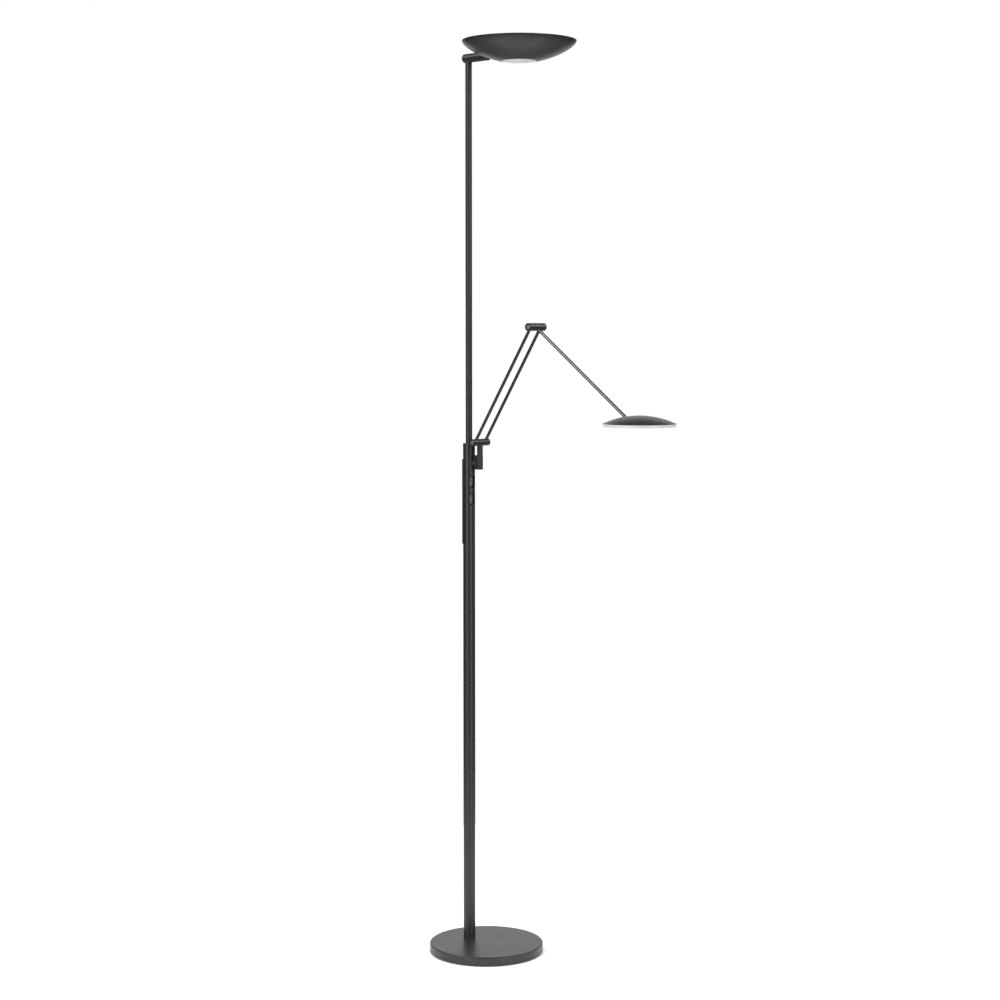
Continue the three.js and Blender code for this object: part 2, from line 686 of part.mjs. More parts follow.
function buildReadingArm(lamp) {
  const lowerArm = groupAt(lamp, -columnSetback + postOffset, 0, armPivotHeight);
  lowerArm.rotation.y = -lowerArmAngle;
  buildHinge(lowerArm, 'lower_hinge', lowerBarRadius, 1, satinGraphite);
  for (const [side, sign] of [['right', -1], ['left', 1]]) {
    const straight = rod(rodRadius, rodEndClearance, lowerArmLength - rodEndClearance);
    const placed = alongX(straight).translate(0, (sign * rodSpacing) / 2, 0);
    piece(lowerArm, `arm_rod_${side}`, placed, satinGraphite);
  }
  const elbowEnd = groupAt(lowerArm, lowerArmLength, 0, 0);
  buildHinge(elbowEnd, 'elbow', elbowBarRadius, -1, satinGraphite);

  const upperArm = groupAt(elbowEnd, 0, 0, 0);
  upperArm.rotation.y = lowerArmAngle + upperArmAngle;
  const hub = alongY(tube(elbowBarRadius, boltRadius + seat, -hubLength / 2, hubLength / 2, tubeFacets));
  const rodSocket = alongX(rod(rodRadius + looseFit, rodEndClearance - looseFit, elbowBarRadius + 1));
  piece(upperArm, 'elbow_hub', cut(hub, rodSocket), satinGraphite);

  // the single rod ends in a flat eye that turns on the head's hinge pin
  const shaft = alongX(rod(rodRadius, rodEndClearance, upperArmLength));
  const eye = alongY(rod(headEyeRadius, -headEyeWidth / 2, headEyeWidth / 2)).translate(upperArmLength, 0, 0);
  const pinBore = alongY(rod(headPinRadius + seat, -headEyeWidth, headEyeWidth))
    .translate(upperArmLength, 0, 0);
  piece(upperArm, 'reading_rod', cut(join(shaft, eye), pinBore), brightSteel);

  const head = groupAt(upperArm, upperArmLength, 0, 0);
  head.rotation.y = -upperArmAngle;
  buildReadingHead(head);
}

// ---------------------------------------------------------------- reading head

const headEyeRadius = (headDomeHeight - headEyeMargin) / 3;
const headEyeWidth = 2 * rodRadius;      // the rod's end is flattened to its own thickness
const headSlotWidth = headEyeWidth + 2 * headSlotSide;

// The dome is a spherical cap, and the hinge axis lies as high inside it as the eye allows.
const sphere = (headRadius ** 2 + headDomeHeight ** 2) / (2 * headDomeHeight);
const headHingeHeight = headDomeHeight - sphere + Math.sqrt((sphere - headShell) ** 2 - headHingeInset ** 2)
  - headEyeRadius - headEyeClearance;

// The head is level; its origin is the hinge axis.
function buildReadingHead(head) {
  const dome = groupAt(head, headHingeInset, 0, -headHingeHeight);
  const centre = [0, headDomeHeight - sphere];
  const rimAngle = (radius) => Math.asin((sphere - headDomeHeight) / radius);
  const shell = turned([
    ...arcPoints(centre, sphere - headShell, Math.PI / 2, rimAngle(sphere - headShell), 5),
    ...arcPoints(centre, sphere, rimAngle(sphere), Math.PI / 2, 6),
  ].map(([x, z], i, all) => (i === 0 || i === all.length - 1 ? [0, z] : [x, z])), wideFacets);
  const slot = block(
    [-headHingeInset - headSlotBack, -headHingeInset + headSlotFront],
    [-headSlotWidth / 2, headSlotWidth / 2],
    [headHingeHeight / 2, headDomeHeight + 1],
  );
  piece(dome, 'head_dome', cut(shell, slot), paleGraphite);

  const diffuserTop = -seat;
  const diffuserRadius = headRadius - headDiffuserInset;
  const cornerCentre = [diffuserRadius - diffuserCorner, -headDiffuserDepth + diffuserCorner];
  const lowerEdge = arcPoints(cornerCentre, diffuserCorner, -Math.PI / 2, 0, 3);
  const diffuser = turned([
    [0, -headDiffuserDepth],
    ...lowerEdge,
    [diffuserRadius, diffuserTop],
    [diffuserRadius - headDiffuserWall, diffuserTop],
    [diffuserRadius - headDiffuserWall, -headDiffuserDepth + headDiffuserWall],
    [0, -headDiffuserDepth + headDiffuserWall],
  ], wideFacets);
  piece(dome, 'head_diffuser', diffuser, opalAcrylic);

  const plateRadius = diffuserRadius - headDiffuserWall - seat;
  const plateTop = -2 * seat;
  const plateBottom = plateTop - headPlateThickness;
  piece(dome, 'head_plate', rod(plateRadius, plateBottom, plateTop, wideFacets), rawAluminium);
  const boardTop = plateBottom - seat;
  const board = rod(plateRadius - headBoardInset, boardTop - headBoardThickness, boardTop, wideFacets);
  piece(dome, 'head_led_board', board, whiteBoard);

  // two ears on the plate hold the pin that the rod's eye turns on
  const earInner = headEyeWidth / 2 + looseFit;
  const earOuter = earInner + headEarThickness;
  const yoke = groupAt(head, 0, 0, 0);
  const earBottom = plateTop + seat - headHingeHeight;
  const ear = (from, to) => join(
    block([-headEyeRadius, headEyeRadius], [from, to], [earBottom, 0]),
    alongY(rod(headEyeRadius, from, to)),
  );
  const tieBack = headEyeRadius + headTieGap;
  const tieFront = tieBack + headTieDepth;
  const tie = block([tieBack, tieFront], [-earOuter, earOuter], [earBottom, earBottom + headTieThickness]);
  const web = (from, to) => block([0, tieFront], [from, to], [earBottom, earBottom + headTieThickness]);
  const pinHole = alongY(rod(headPinRadius + seat, -earOuter - 1, earOuter + 1));
  const leftEar = join(ear(earInner, earOuter), web(earInner, earOuter));
  const rightEar = join(ear(-earOuter, -earInner), web(-earOuter, -earInner));
  const bracket = join(tie, leftEar, rightEar);
  piece(yoke, 'head_hinge_bracket', cut(bracket, pinHole), zincSteel);
  piece(yoke, 'head_hinge_pin', alongY(rod(headPinRadius, -earOuter, earOuter)), zincSteel);
}

// ---------------------------------------------------------------- uplight

// Points down the bowl's wall from the rim to the lens opening, on a superellipse.
function bowlPoints(radius, depth, openingRadius, steps) {
  const lastAngle = Math.acos((openingRadius / radius) ** (dishCurveAcross / 2));
  return Array.from({ length: steps + 1 }, (_, i) => {
    const angle = (lastAngle * i) / steps;
    const across = radius * Math.cos(angle) ** (2 / dishCurveAcross);
    return [across, -depth * Math.sin(angle) ** (2 / dishCurveDown)];
  });
}

function buildUplight(lamp) {
  const uplight = groupAt(lamp, -columnSetback, 0, overallHeight);

  // bracket bar: lies along +X on top of the pole and enters the back of the bowl
  const bar = alongX(turned([
    [0, -bracketTail],
    [bracketRadius - bracketChamfer, -bracketTail],
    [bracketRadius, -bracketTail + bracketChamfer],
    [bracketRadius, bracketNose - bracketChamfer],
    [bracketRadius - bracketChamfer, bracketNose],
    [0, bracketNose],
  ], tubeFacets)).translate(0, 0, -bracketDrop);
  const underside = -bracketDrop - bracketRadius;
  const poleSocket = rod(poleRadius + 2 * seat, underside - 1, underside + bracketSocketDepth, tubeFacets);
  const spigotSpace = bracketSocketDepth + spigotStandout + seat;
  const spigotBore = rod(spigotRadius + seat, underside, underside + spigotSpace);
  const groove = (sign) => block(
    [0, bracketNose + 1],
    [sign * bracketRadius - bracketGrooveDepth, sign * bracketRadius + bracketGrooveDepth],
    [-bracketDrop - bracketGrooveHeight / 2, -bracketDrop + bracketGrooveHeight / 2],
  );
  const screwForward = bracketNose - bracketScrewInset;
  const screwBore = rod(mountScrewRadius + seat, -bracketDrop, 0).translate(screwForward, 0, 0);
  const bracket = cut(bar, poleSocket, spigotBore, groove(1), groove(-1), screwBore);
  piece(uplight, 'bracket_bar', bracket, satinGraphite);

  const dish = groupAt(uplight, dishReach, 0, 0);
  const outerWall = bowlPoints(dishRadius, dishDepth, lensRadius + seat, 9);
  const innerRadius = dishRadius - dishShell;
  const innerDepth = dishDepth - dishShell;
  const innerWall = bowlPoints(innerRadius, innerDepth, lensRadius + seat, 8).reverse();
  const bowl = turnedRing([...outerWall, ...innerWall], wideFacets);
  const openingEnds = [-dishRadius - 1, bracketNose - dishReach + 1];
  const bracketOpening = alongX(rod(bracketRadius + looseFit, ...openingEnds, tubeFacets))
    .translate(0, 0, -bracketDrop);
  piece(dish, 'dish_shell', cut(bowl, bracketOpening), satinGraphite);

  const insideRadius = (depth) => bowlRadiusAt(innerRadius, innerDepth, depth);
  const diffuserBottom = topDiffuserRecess + topDiffuserThickness;
  const diffuserRadius = insideRadius(diffuserBottom) - topDiffuserClearance;
  const diffuser = rod(diffuserRadius, -diffuserBottom, -topDiffuserRecess, wideFacets);
  piece(dish, 'top_diffuser', diffuser, opalAcrylic);

  const plateBottom = -bracketDrop + bracketRadius + seat;
  const plateTop = plateBottom + dishPlateThickness;
  const plateRadius = insideRadius(-plateBottom) - dishPlateClearance;
  const plateScrew = [screwForward - dishReach, 0, 0];
  const plateHole = rod(mountScrewRadius + seat, plateBottom - 1, plateTop + 1).translate(...plateScrew);
  const plate = cut(rod(plateRadius, plateBottom, plateTop, wideFacets), plateHole);
  piece(dish, 'dish_plate', plate, rawAluminium);
  const screwTop = plateTop + seat + bracketScrewHeadLength;
  const bracketScrewEnd = -bracketDrop + bracketScrewStop;
  const fixing = turned([
    [0, bracketScrewEnd],
    [mountScrewRadius, bracketScrewEnd],
    [mountScrewRadius, plateTop + seat],
    [mountScrewHeadRadius, plateTop + seat],
    [mountScrewHeadRadius, screwTop],
    [0, screwTop],
  ], smallFacets);
  piece(dish, 'bracket_screw', fixing.translate(...plateScrew), zincSteel);

  const boardBottom = plateTop + seat;
  const boardRadii = [plateRadius - dishBoardInset, dishBoardInnerRadius];
  const board = tube(...boardRadii, boardBottom, boardBottom + dishBoardThickness, wideFacets);
  piece(dish, 'dish_led_board', board, whiteBoard);

  // opal lens that closes the bottom of the bowl, hung from a flange inside it
  const openingShare = (lensRadius / innerRadius) ** dishCurveAcross;
  const openingDepth = innerDepth * (1 - openingShare) ** (1 / dishCurveDown);
  const flangeBottom = -openingDepth + lensFlangeLift;
  const lensFace = -bowlPoints(dishRadius, dishDepth, lensRadius, 1)[1][1];
  const lensSphere = (lensRadius ** 2 + lensBulge ** 2) / (2 * lensBulge);
  const spread = Math.asin(lensRadius / lensSphere);
  const lensCentre = [0, -lensFace - lensBulge + lensSphere];
  const face = arcPoints(lensCentre, lensSphere, -Math.PI / 2, -Math.PI / 2 + spread, 3);
  face[0][0] = 0;
  const lens = turned([
    ...face.map(([x, z]) => [Math.min(x, lensRadius - seat), z]),
    [lensRadius - seat, flangeBottom],
    [lensRadius + lensFlange, flangeBottom],
    [lensRadius + lensFlange, flangeBottom + lensThickness],
    [lensRadius - seat - lensThickness, flangeBottom + lensThickness],
    [lensRadius - seat - lensThickness, -lensFace + lensThickness],
    [0, -lensFace + lensThickness],
  ], wideFacets);
  piece(dish, 'bottom_lens', lens, opalAcrylic);

  // carrier for the downward light, hung under the plate on three standoffs
  const carrierTop = -lowerCarrierDepth;
  const standoffs = [0, 1, 2].map((i) => {
    const angle = (2 * Math.PI * i) / 3;
    const place = lowerCarrierRadius - standoffRadius - 1;
    return rod(standoffRadius, carrierTop - 1, plateBottom - seat)
      .translate(place * Math.cos(angle), place * Math.sin(angle), 0);
  });
  const carrierDisc = rod(lowerCarrierRadius, carrierTop - dishPlateThickness, carrierTop, wideFacets);
  const carrier = join(carrierDisc, ...standoffs);
  piece(dish, 'lower_light_carrier', carrier, rawAluminium);
  const lowerBoardTop = carrierTop - dishPlateThickness - seat;
  const lowerBoard = rod(lowerBoardRadius, lowerBoardTop - dishBoardThickness, lowerBoardTop, tubeFacets);
  piece(dish, 'lower_led_board', lowerBoard, whiteBoard);
}

// ---------------------------------------------------------------- assembly

const lamp = new THREE.Group();
buildBase(lamp);
buildColumn(lamp);
buildSwitch(lamp, 'upper_dimmer', upperSwitchHeight);
buildSwitch(lamp, 'lower_dimmer', lowerSwitchHeight);
buildArmMount(lamp);
buildReadingArm(lamp);
buildUplight(lamp);

export default lamp;
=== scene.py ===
"""Torchiere floor lamp with a reading arm: its looks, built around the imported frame.

The file follows the lamp as it is put together: base, column, rear cover, dimmers, pole, arm mount,
reading arm, reading head, bracket and dish. Metres, +Z up, +X towards the dish and the reading head.
"""

import math

import bmesh
import bpy
from mathutils import Matrix, Vector


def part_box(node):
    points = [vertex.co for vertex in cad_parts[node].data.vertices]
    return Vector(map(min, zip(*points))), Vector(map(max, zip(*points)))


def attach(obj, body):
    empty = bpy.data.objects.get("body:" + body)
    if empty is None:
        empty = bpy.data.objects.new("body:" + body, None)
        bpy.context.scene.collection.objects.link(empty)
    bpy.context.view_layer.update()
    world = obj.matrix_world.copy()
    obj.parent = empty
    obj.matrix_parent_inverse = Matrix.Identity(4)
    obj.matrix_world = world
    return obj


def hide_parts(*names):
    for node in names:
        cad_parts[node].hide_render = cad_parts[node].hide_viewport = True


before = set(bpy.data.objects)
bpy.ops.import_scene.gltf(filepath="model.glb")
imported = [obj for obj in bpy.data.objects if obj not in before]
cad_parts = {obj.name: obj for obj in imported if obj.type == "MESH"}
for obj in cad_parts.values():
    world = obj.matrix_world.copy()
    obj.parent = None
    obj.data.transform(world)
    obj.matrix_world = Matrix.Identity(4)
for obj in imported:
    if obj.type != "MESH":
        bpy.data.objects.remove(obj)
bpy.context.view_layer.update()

# ------------------------------------------------------------------ camera
# A long lens at chest height, in front of the lamp and to its right, pitched slightly down.


def middle(node):
    low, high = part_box(node)
    return (low + high) / 2


pole_axis = middle("upper_pole")
camera_side = math.radians(43.84)      # from -Y towards +X
camera_distance = 4.2136
camera_height = 1.238
camera_turn = math.radians(0.84)
camera_pitch = math.radians(4.481)

away = Vector((-math.sin(camera_side), math.cos(camera_side), 0))
across = Vector((math.cos(camera_side), math.sin(camera_side), 0))
level = away * math.cos(camera_turn) + across * math.sin(camera_turn)
forward = level * math.cos(camera_pitch) - Vector((0, 0, math.sin(camera_pitch)))

camera_data = bpy.data.cameras.new("camera")
camera_data.sensor_width = 36
camera_data.lens = 76.17
camera = bpy.data.objects.new("camera", camera_data)
camera.location = Vector((pole_axis.x, 0, camera_height)) - away * camera_distance
camera.rotation_euler = forward.to_track_quat("-Z", "Y").to_euler()
bpy.context.scene.collection.objects.link(camera)
bpy.context.scene.camera = camera

# ------------------------------------------------------------------ studio
# A white room with a round paper floor. The overhead light shows in matt surfaces only. Two tall soft
# boxes draw a pale stripe down each side of every tube, a bank behind the lamp rims its edges, and two
# high side banks light the pieces that lie level.


def add(tree, kind, settings=(), links=()):
    """Adds a node. Settings are its properties or unlinked inputs, and links are its linked inputs."""
    node = tree.nodes.new(kind)
    for key, value in dict(settings).items():
        if isinstance(key, str) and hasattr(node, key):
            setattr(node, key, value)
        else:
            node.inputs[key].default_value = value
    for key, socket in dict(links).items():
        tree.links.new(socket, node.inputs[key])
    return node


def shade(hex_colour):
    """An sRGB hex colour as linear red, green, blue and alpha."""
    parts = [int(hex_colour[i:i + 2], 16) / 255 for i in (1, 3, 5)]
    return [c / 12.92 if c <= 0.04045 else ((c + 0.055) / 1.055) ** 2.4 for c in parts] + [1]


bpy.context.scene.view_settings.view_transform = "Standard"

room = bpy.data.worlds.new("white_room")
room.use_nodes = True
room.node_tree.nodes.clear()
room_seen = add(room.node_tree, "ShaderNodeBackground", {"Color": shade("#ffffff"), "Strength": 1.0})
# What the lamp reflects: a dim room, with a pale floor that runs on beyond the paper.
room_side = add(room.node_tree, "ShaderNodeTexCoord")
room_parts = add(room.node_tree, "ShaderNodeSeparateXYZ", {}, {0: room_side.outputs["Generated"]})
room_glow = add(room.node_tree, "ShaderNodeMapRange", {
    "interpolation_type": "SMOOTHSTEP", "From Min": -0.75, "From Max": -0.4, "To Min": 0.45, "To Max": 0.09},
    {"Value": room_parts.outputs["Z"]})
room_light = add(room.node_tree, "ShaderNodeBackground", {"Color": shade("#ffffff")},
                 {"Strength": room_glow.outputs[0]})
ray = add(room.node_tree, "ShaderNodeLightPath")
room_mix = add(room.node_tree, "ShaderNodeMixShader", {}, {
    0: ray.outputs["Is Camera Ray"], 1: room_light.outputs[0], 2: room_seen.outputs[0]})
add(room.node_tree, "ShaderNodeOutputWorld", {}, {"Surface": room_mix.outputs[0]})
bpy.context.scene.world = room

floor_mesh = bpy.data.meshes.new("studio_floor")
floor_radius = 1.1
floor_points = 128
floor_ring = []
for k in range(floor_points):
    turn = math.tau * k / floor_points
    floor_ring.append((floor_radius * math.cos(turn), floor_radius * math.sin(turn), 0))
floor_mesh.from_pydata(floor_ring, [], [range(floor_points)])
floor = bpy.data.objects.new("studio_floor", floor_mesh)
bpy.context.scene.collection.objects.link(floor)
# Matt white paper roll: nearly all diffuse, with a trace of fibre in its brightness.
paper = bpy.data.materials.new("white_paper_roll")
paper.use_nodes = True
paper.node_tree.nodes.clear()
paper_place = add(paper.node_tree, "ShaderNodeTexCoord")
paper_fibre = add(paper.node_tree, "ShaderNodeTexNoise", {"Scale": 3.0, "Detail": 2.0},
                  {"Vector": paper_place.outputs["Object"]})
paper_tone = add(paper.node_tree, "ShaderNodeMix",
                 {"data_type": "RGBA", 6: shade("#f4f4f4"), 7: shade("#f8f8f8")},
                 {0: paper_fibre.outputs[0]})
paper_shader = add(paper.node_tree, "ShaderNodeBsdfPrincipled",
                   {"Roughness": 0.9, "Specular IOR Level": 0.1}, {"Base Color": paper_tone.outputs[2]})
add(paper.node_tree, "ShaderNodeOutputMaterial", {}, {"Surface": paper_shader.outputs[0]})
floor_mesh.materials.append(paper)


def soft_light(name, kind, strength, place, aim, **shape):
    """A lamp at a place, aimed at another, that the camera doesn't see."""
    data = bpy.data.lights.new(name, kind)
    data.energy = strength
    for key, value in shape.items():
        setattr(data, key, value)
    lamp = bpy.data.objects.new(name, data)
    lamp.location = place
    lamp.rotation_euler = (Vector(aim) - Vector(place)).to_track_quat("-Z", "Y").to_euler()
    lamp.visible_camera = False
    bpy.context.scene.collection.objects.link(lamp)
    return lamp


overhead = soft_light("overhead", "SUN", 2.3, place=(0, 0, 5), aim=(0, 0, 0), angle=math.radians(55))
overhead.visible_glossy = False
# Each row: name, degrees round from the camera, distance, height, height aimed at, watts, width, length.
for name, side, distance, height, aim_height, watts, width, length in (
        ("soft_box_left", -41, 4.5, 2.0, 1.4, 96, 2.0, 4.8),
        ("soft_box_right", 41, 4.5, 2.0, 1.4, 96, 2.0, 4.8),
        ("back_bank", 180, 4.0, 1.9, 1.5, 36, 3.6, 3.4),
        ("high_bank_left", -75, 3.6, 4.2, 1.3, 130, 3.4, 2.6),
        ("high_bank_right", 97, 4.0, 3.2, 1.3, 75, 2.4, 2.2)):
    turn = camera_side + math.radians(side)
    soft_light(name, "AREA", watts, place=(distance * math.sin(turn), -distance * math.cos(turn), height),
               aim=(0, 0, aim_height), shape="RECTANGLE", size=width, size_y=length)

# ------------------------------------------------------------------ base
# A spun steel cover, lacquered satin graphite, pulled over a round cast-iron weight. A felt pad is glued
# underneath, the mains gland sits low at the back, and a stud and nut under the column clamp it down.

mm = 0.001
fit = 0.1 * mm                         # the gap between two parts that slide together
wide_facets = 192
base_sheet = 1.5 * mm
base_edge_round = 2 * mm
stud_hole_radius = 5.5 * mm


def surface(name, pale, dark, grain, depth, shader, stretch=(1, 1, 1), blotch=45 * mm, rough_spread=0.08):
    """A material with fine grain in its relief, and broad soft blotches in its colour and roughness.
    Grain, depth and blotch are real sizes; stretch lengthens the grain along an axis."""
    material = bpy.data.materials.new(name)
    material.use_nodes = True
    tree = material.node_tree
    tree.nodes.clear()
    place = add(tree, "ShaderNodeTexCoord")
    lie = add(tree, "ShaderNodeMapping", {"Scale": stretch}, {"Vector": place.outputs["Object"]})
    fine = add(tree, "ShaderNodeTexNoise", {"Scale": 1 / grain, "Detail": 3.0, "Roughness": 0.55},
               {"Vector": lie.outputs[0]})
    broad = add(tree, "ShaderNodeTexNoise", {"Scale": 1 / blotch, "Detail": 4.0, "Roughness": 0.6},
                {"Vector": place.outputs["Object"]})
    both = add(tree, "ShaderNodeMath", {"operation": "MULTIPLY_ADD", 1: 0.45},
               {0: fine.outputs[0], 2: broad.outputs[0]})
    spread = add(tree, "ShaderNodeMapRange", {"From Min": 0.4, "From Max": 1.05}, {"Value": both.outputs[0]})
    tone = add(tree, "ShaderNodeMix", {"data_type": "RGBA", 6: shade(pale), 7: shade(dark)},
               {0: spread.outputs[0]})
    roughness = shader.pop("Roughness")
    sheen = add(tree, "ShaderNodeMapRange",
                {"From Min": 0.3, "From Max": 0.7, "To Min": roughness - rough_spread,
                 "To Max": roughness + rough_spread}, {"Value": broad.outputs[0]})
    relief = add(tree, "ShaderNodeBump", {"Strength": 1.0, "Distance": depth}, {"Height": fine.outputs[0]})
    body = add(tree, "ShaderNodeBsdfPrincipled", shader, {
        "Base Color": tone.outputs[2], "Roughness": sheen.outputs[0], "Normal": relief.outputs[0]})
    add(tree, "ShaderNodeOutputMaterial", {}, {"Surface": body.outputs[0]})
    return material


# Baked graphite lacquer on steel: sprayed, so it has a faint orange peel, a satin sheen that brightens
# towards a grazing view, and no visible flake.
lacquer = surface("graphite_lacquer", "#272726", "#242423", 1.6 * mm, 0.005 * mm,
                  {"Roughness": 0.36, "Metallic": 0.0, "IOR": 1.5}, rough_spread=0.02)
# Raw grey iron casting: dull, dark and sandy.
casting = surface("raw_cast_iron", "#45464a", "#2c2c2e", 1.2 * mm, 0.25 * mm,
                  {"Roughness": 0.8, "Metallic": 0.6}, blotch=20 * mm)
# Zinc-plated mild steel: pale and slightly blue, with a soft spangle.
zinc = surface("zinc_plated_steel", "#a2a6ab", "#83878d", 0.8 * mm, 0.02 * mm,
               {"Roughness": 0.38, "Metallic": 1.0}, blotch=6 * mm)
# Glass-filled nylon, moulded black: a fine even spark texture.
nylon = surface("moulded_black_nylon", "#191919", "#111112", 0.5 * mm, 0.03 * mm,
                {"Roughness": 0.5, "Metallic": 0.0, "IOR": 1.53}, blotch=12 * mm)
# Needled polyester felt: matt, with short matted fibres. Real fibres are finer than this can show.
felt = surface("needled_black_felt", "#2c2c2e", "#141415", 0.9 * mm, 0.5 * mm,
               {"Roughness": 0.95, "Metallic": 0.0, "Sheen Weight": 0.4, "Sheen Roughness": 0.5},
               stretch=(1, 0.35, 1), blotch=8 * mm, rough_spread=0.04)


def eased(corners, ring=False, steps=4):
    """Rounds the corners of an outline. A corner is (radius, height, easing), and a ring has no free ends."""
    outline = []
    count = len(corners)
    too_short = 1e-6
    for i, (x, z, easing) in enumerate(corners):
        here = Vector((x, z))
        if easing == 0 or (not ring and i in (0, count - 1)):
            outline.append((x, z))
            continue
        before = Vector(corners[i - 1][:2]) - here
        after = Vector(corners[(i + 1) % count][:2]) - here
        half = before.angle(after) / 2
        reach = easing / math.tan(half)
        centre = here + (before.normalized() + after.normalized()).normalized() * (easing / math.sin(half))
        start = here + before.normalized() * reach
        end = here + after.normalized() * reach
        hold = min(easing, (before.length - reach) / 3)
        if hold > too_short:
            outline.append(tuple(start + before.normalized() * hold))
        for k in range(steps + 1):
            outline.append(tuple(centre + (start - centre).normalized().slerp(
                (end - centre).normalized(), k / steps) * easing))
        hold = min(easing, (after.length - reach) / 3)
        if hold > too_short:
            outline.append(tuple(end + after.normalized() * hold))
    return outline


def join_rings(mesh, low, high):
    """Faces between two rings of points, one of which may be a single point."""
    count = max(len(low), len(high))
    for i in range(count):
        j = (i + 1) % count
        corners = [low[i % len(low)], low[j % len(low)], high[j % len(high)], high[i % len(high)]]
        mesh.faces.new(list(dict.fromkeys(corners)))


def new_piece(name, mesh, place=Matrix()):
    """Makes an object of a bmesh, with its place in its mesh."""
    mesh.transform(place)
    bmesh.ops.recalc_face_normals(mesh, faces=mesh.faces)
    data = bpy.data.meshes.new(name)
    mesh.to_mesh(data)
    mesh.free()
    piece = bpy.data.objects.new(name, data)
    bpy.context.scene.collection.objects.link(piece)
    return piece


def turned(name, outline, facets=96, place=Matrix()):
    """Turns an outline of (radius, height) about Z. It is a ring where it doesn't start on the axis."""
    mesh = bmesh.new()
    rings = []
    for radius, height in outline:
        turns = 1 if radius < 1e-6 else facets
        rings.append([mesh.verts.new((radius * math.cos(math.tau * k / facets),
                                      radius * math.sin(math.tau * k / facets), height))
                      for k in range(turns)])
    if outline[0][0] > 1e-6:
        rings.append(rings[0])
    for low, high in zip(rings, rings[1:]):
        join_rings(mesh, low, high)
    return new_piece(name, mesh, place)


def lofted(name, rings, place=Matrix()):
    """Skins rings of equal length and closes both ends."""
    mesh = bmesh.new()
    loops = [[mesh.verts.new(point) for point in ring] for ring in rings]
    for low, high in zip(loops, loops[1:]):
        join_rings(mesh, low, high)
    mesh.faces.new(loops[0])
    mesh.faces.new(loops[-1])
    return new_piece(name, mesh, place)


def evaluated(piece):
    """Replaces a piece's mesh by what its modifiers make of it."""
    bpy.context.view_layer.update()
    ready = piece.evaluated_get(bpy.context.evaluated_depsgraph_get())
    piece_mesh = bpy.data.meshes.new_from_object(ready)
    piece.modifiers.clear()
    piece.data = piece_mesh
    return piece


def cut(piece, *tools, operation="DIFFERENCE"):
    """Cuts the tools out of a piece, or joins them to it, and removes them."""
    for tool in tools:
        step = piece.modifiers.new("cut", "BOOLEAN")
        step.operation = operation
        step.solver = "EXACT"
        step.object = tool
        evaluated(piece)
        bpy.data.objects.remove(tool)
    return piece


def settle(piece, material, body, slot, *nodes, crease=32):
    """Shades a finished piece, gives it its material, fixes it to its body, and hides the CAD nodes it
    replaces.
    """
    piece.data.materials.clear()
    piece.data.materials.append(material)
    piece.data.shade_smooth()
    piece.data.set_sharp_from_angle(angle=math.radians(crease))
    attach(piece, body)
    if nodes:
        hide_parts(*nodes)


def coat(material, *nodes):
    """Gives CAD nodes that stay as they are their material."""
    for node in nodes:
        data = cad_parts[node].data
        data.materials.clear()
        data.materials.append(material)


def toward(direction, place):
    """Lays a piece made along Z in a direction, at a place."""
    return Matrix.Translation(place) @ Vector(direction).to_track_quat("Z", "Y").to_matrix().to_4x4()


def drill(radius, start, end, place, direction=(0, 0, 1), facets=64):
    """A round cutter that reaches from start to end along a direction, measured from a place."""
    outline = [(0, start), (radius, start), (radius, end), (0, end)]
    return turned("tool", outline, facets, toward(direction, place))


base_low, base_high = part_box("base_cover")
base_radius = base_high.x
base_inner = base_radius - base_sheet
cover = turned("base_cover_spun", eased([
    (0, base_high.z - base_sheet, 0),
    (base_inner, base_high.z - base_sheet, 0.6 * mm),
    (base_inner, base_low.z, 0.4 * mm),
    (base_radius, base_low.z, 0.6 * mm),
    (base_radius, base_high.z, base_edge_round),
    (0, base_high.z, 0)], steps=6), wide_facets)
gland_axis = middle("cord_gland")
gland_bore, gland_barrel, gland_groove = 2.6 * mm, 4.5 * mm, 4.2 * mm
cut(cover,
    drill(stud_hole_radius, 0, base_high.z + 100 * mm, (pole_axis.x, 0, 0)),
    drill(gland_barrel + fit, -12 * mm, 12 * mm, gland_axis, (1, 0, 0)))
settle(cover, lacquer, "stand", "graphite_lacquer", "base_cover")

felt_low, felt_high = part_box("base_felt")
felt_pad = turned("felt_pad_glued", eased([
    (0, felt_low.z, 0), (felt_high.x, felt_low.z, 0.5 * mm), (felt_high.x, felt_high.z, 0.3 * mm),
    (0, felt_high.z, 0)]), wide_facets)
settle(felt_pad, felt, "stand", "felt_pad", "base_felt")

gland_low, gland_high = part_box("cord_gland")
gland_length = gland_high.x - gland_low.x
gland_radius = (gland_high.z - gland_low.z) / 2
gland_flange = 2 * mm
rib_pitch, rib_width = 0.9 * mm, 0.6 * mm
gland_ribs = []
for rib in range(4):
    rib_at = 0.55 * gland_length + rib * rib_pitch
    gland_ribs += [(gland_barrel, rib_at, 0), (gland_groove, rib_at + rib_width / 2, 0),
                   (gland_barrel, rib_at + rib_width, 0)]
gland = turned("gland_moulded", eased([
    (gland_bore, 0, 0.5 * mm), (gland_radius, 0, 0.9 * mm), (gland_radius, gland_flange, 0.2 * mm),
    (gland_barrel, gland_flange, 0.2 * mm), *gland_ribs, (gland_barrel, gland_length, 0.3 * mm),
    (gland_bore, gland_length, 0.3 * mm)], ring=True), 64,
    toward((1, 0, 0), (gland_low.x, 0, gland_axis.z)))
settle(gland, nylon, "stand", "black_plastic", "cord_gland")
coat(casting, "base_weight")
coat(zinc, "foot_washer", "foot_nut", "foot_plug")

# ------------------------------------------------------------------ column
# Welded steel tube, 24 mm across with a 1.5 mm wall, lacquered and baked like the base. It is
# pierced for the two dimmers, the arm's mounting screw, and the wiring window behind the rear cover.

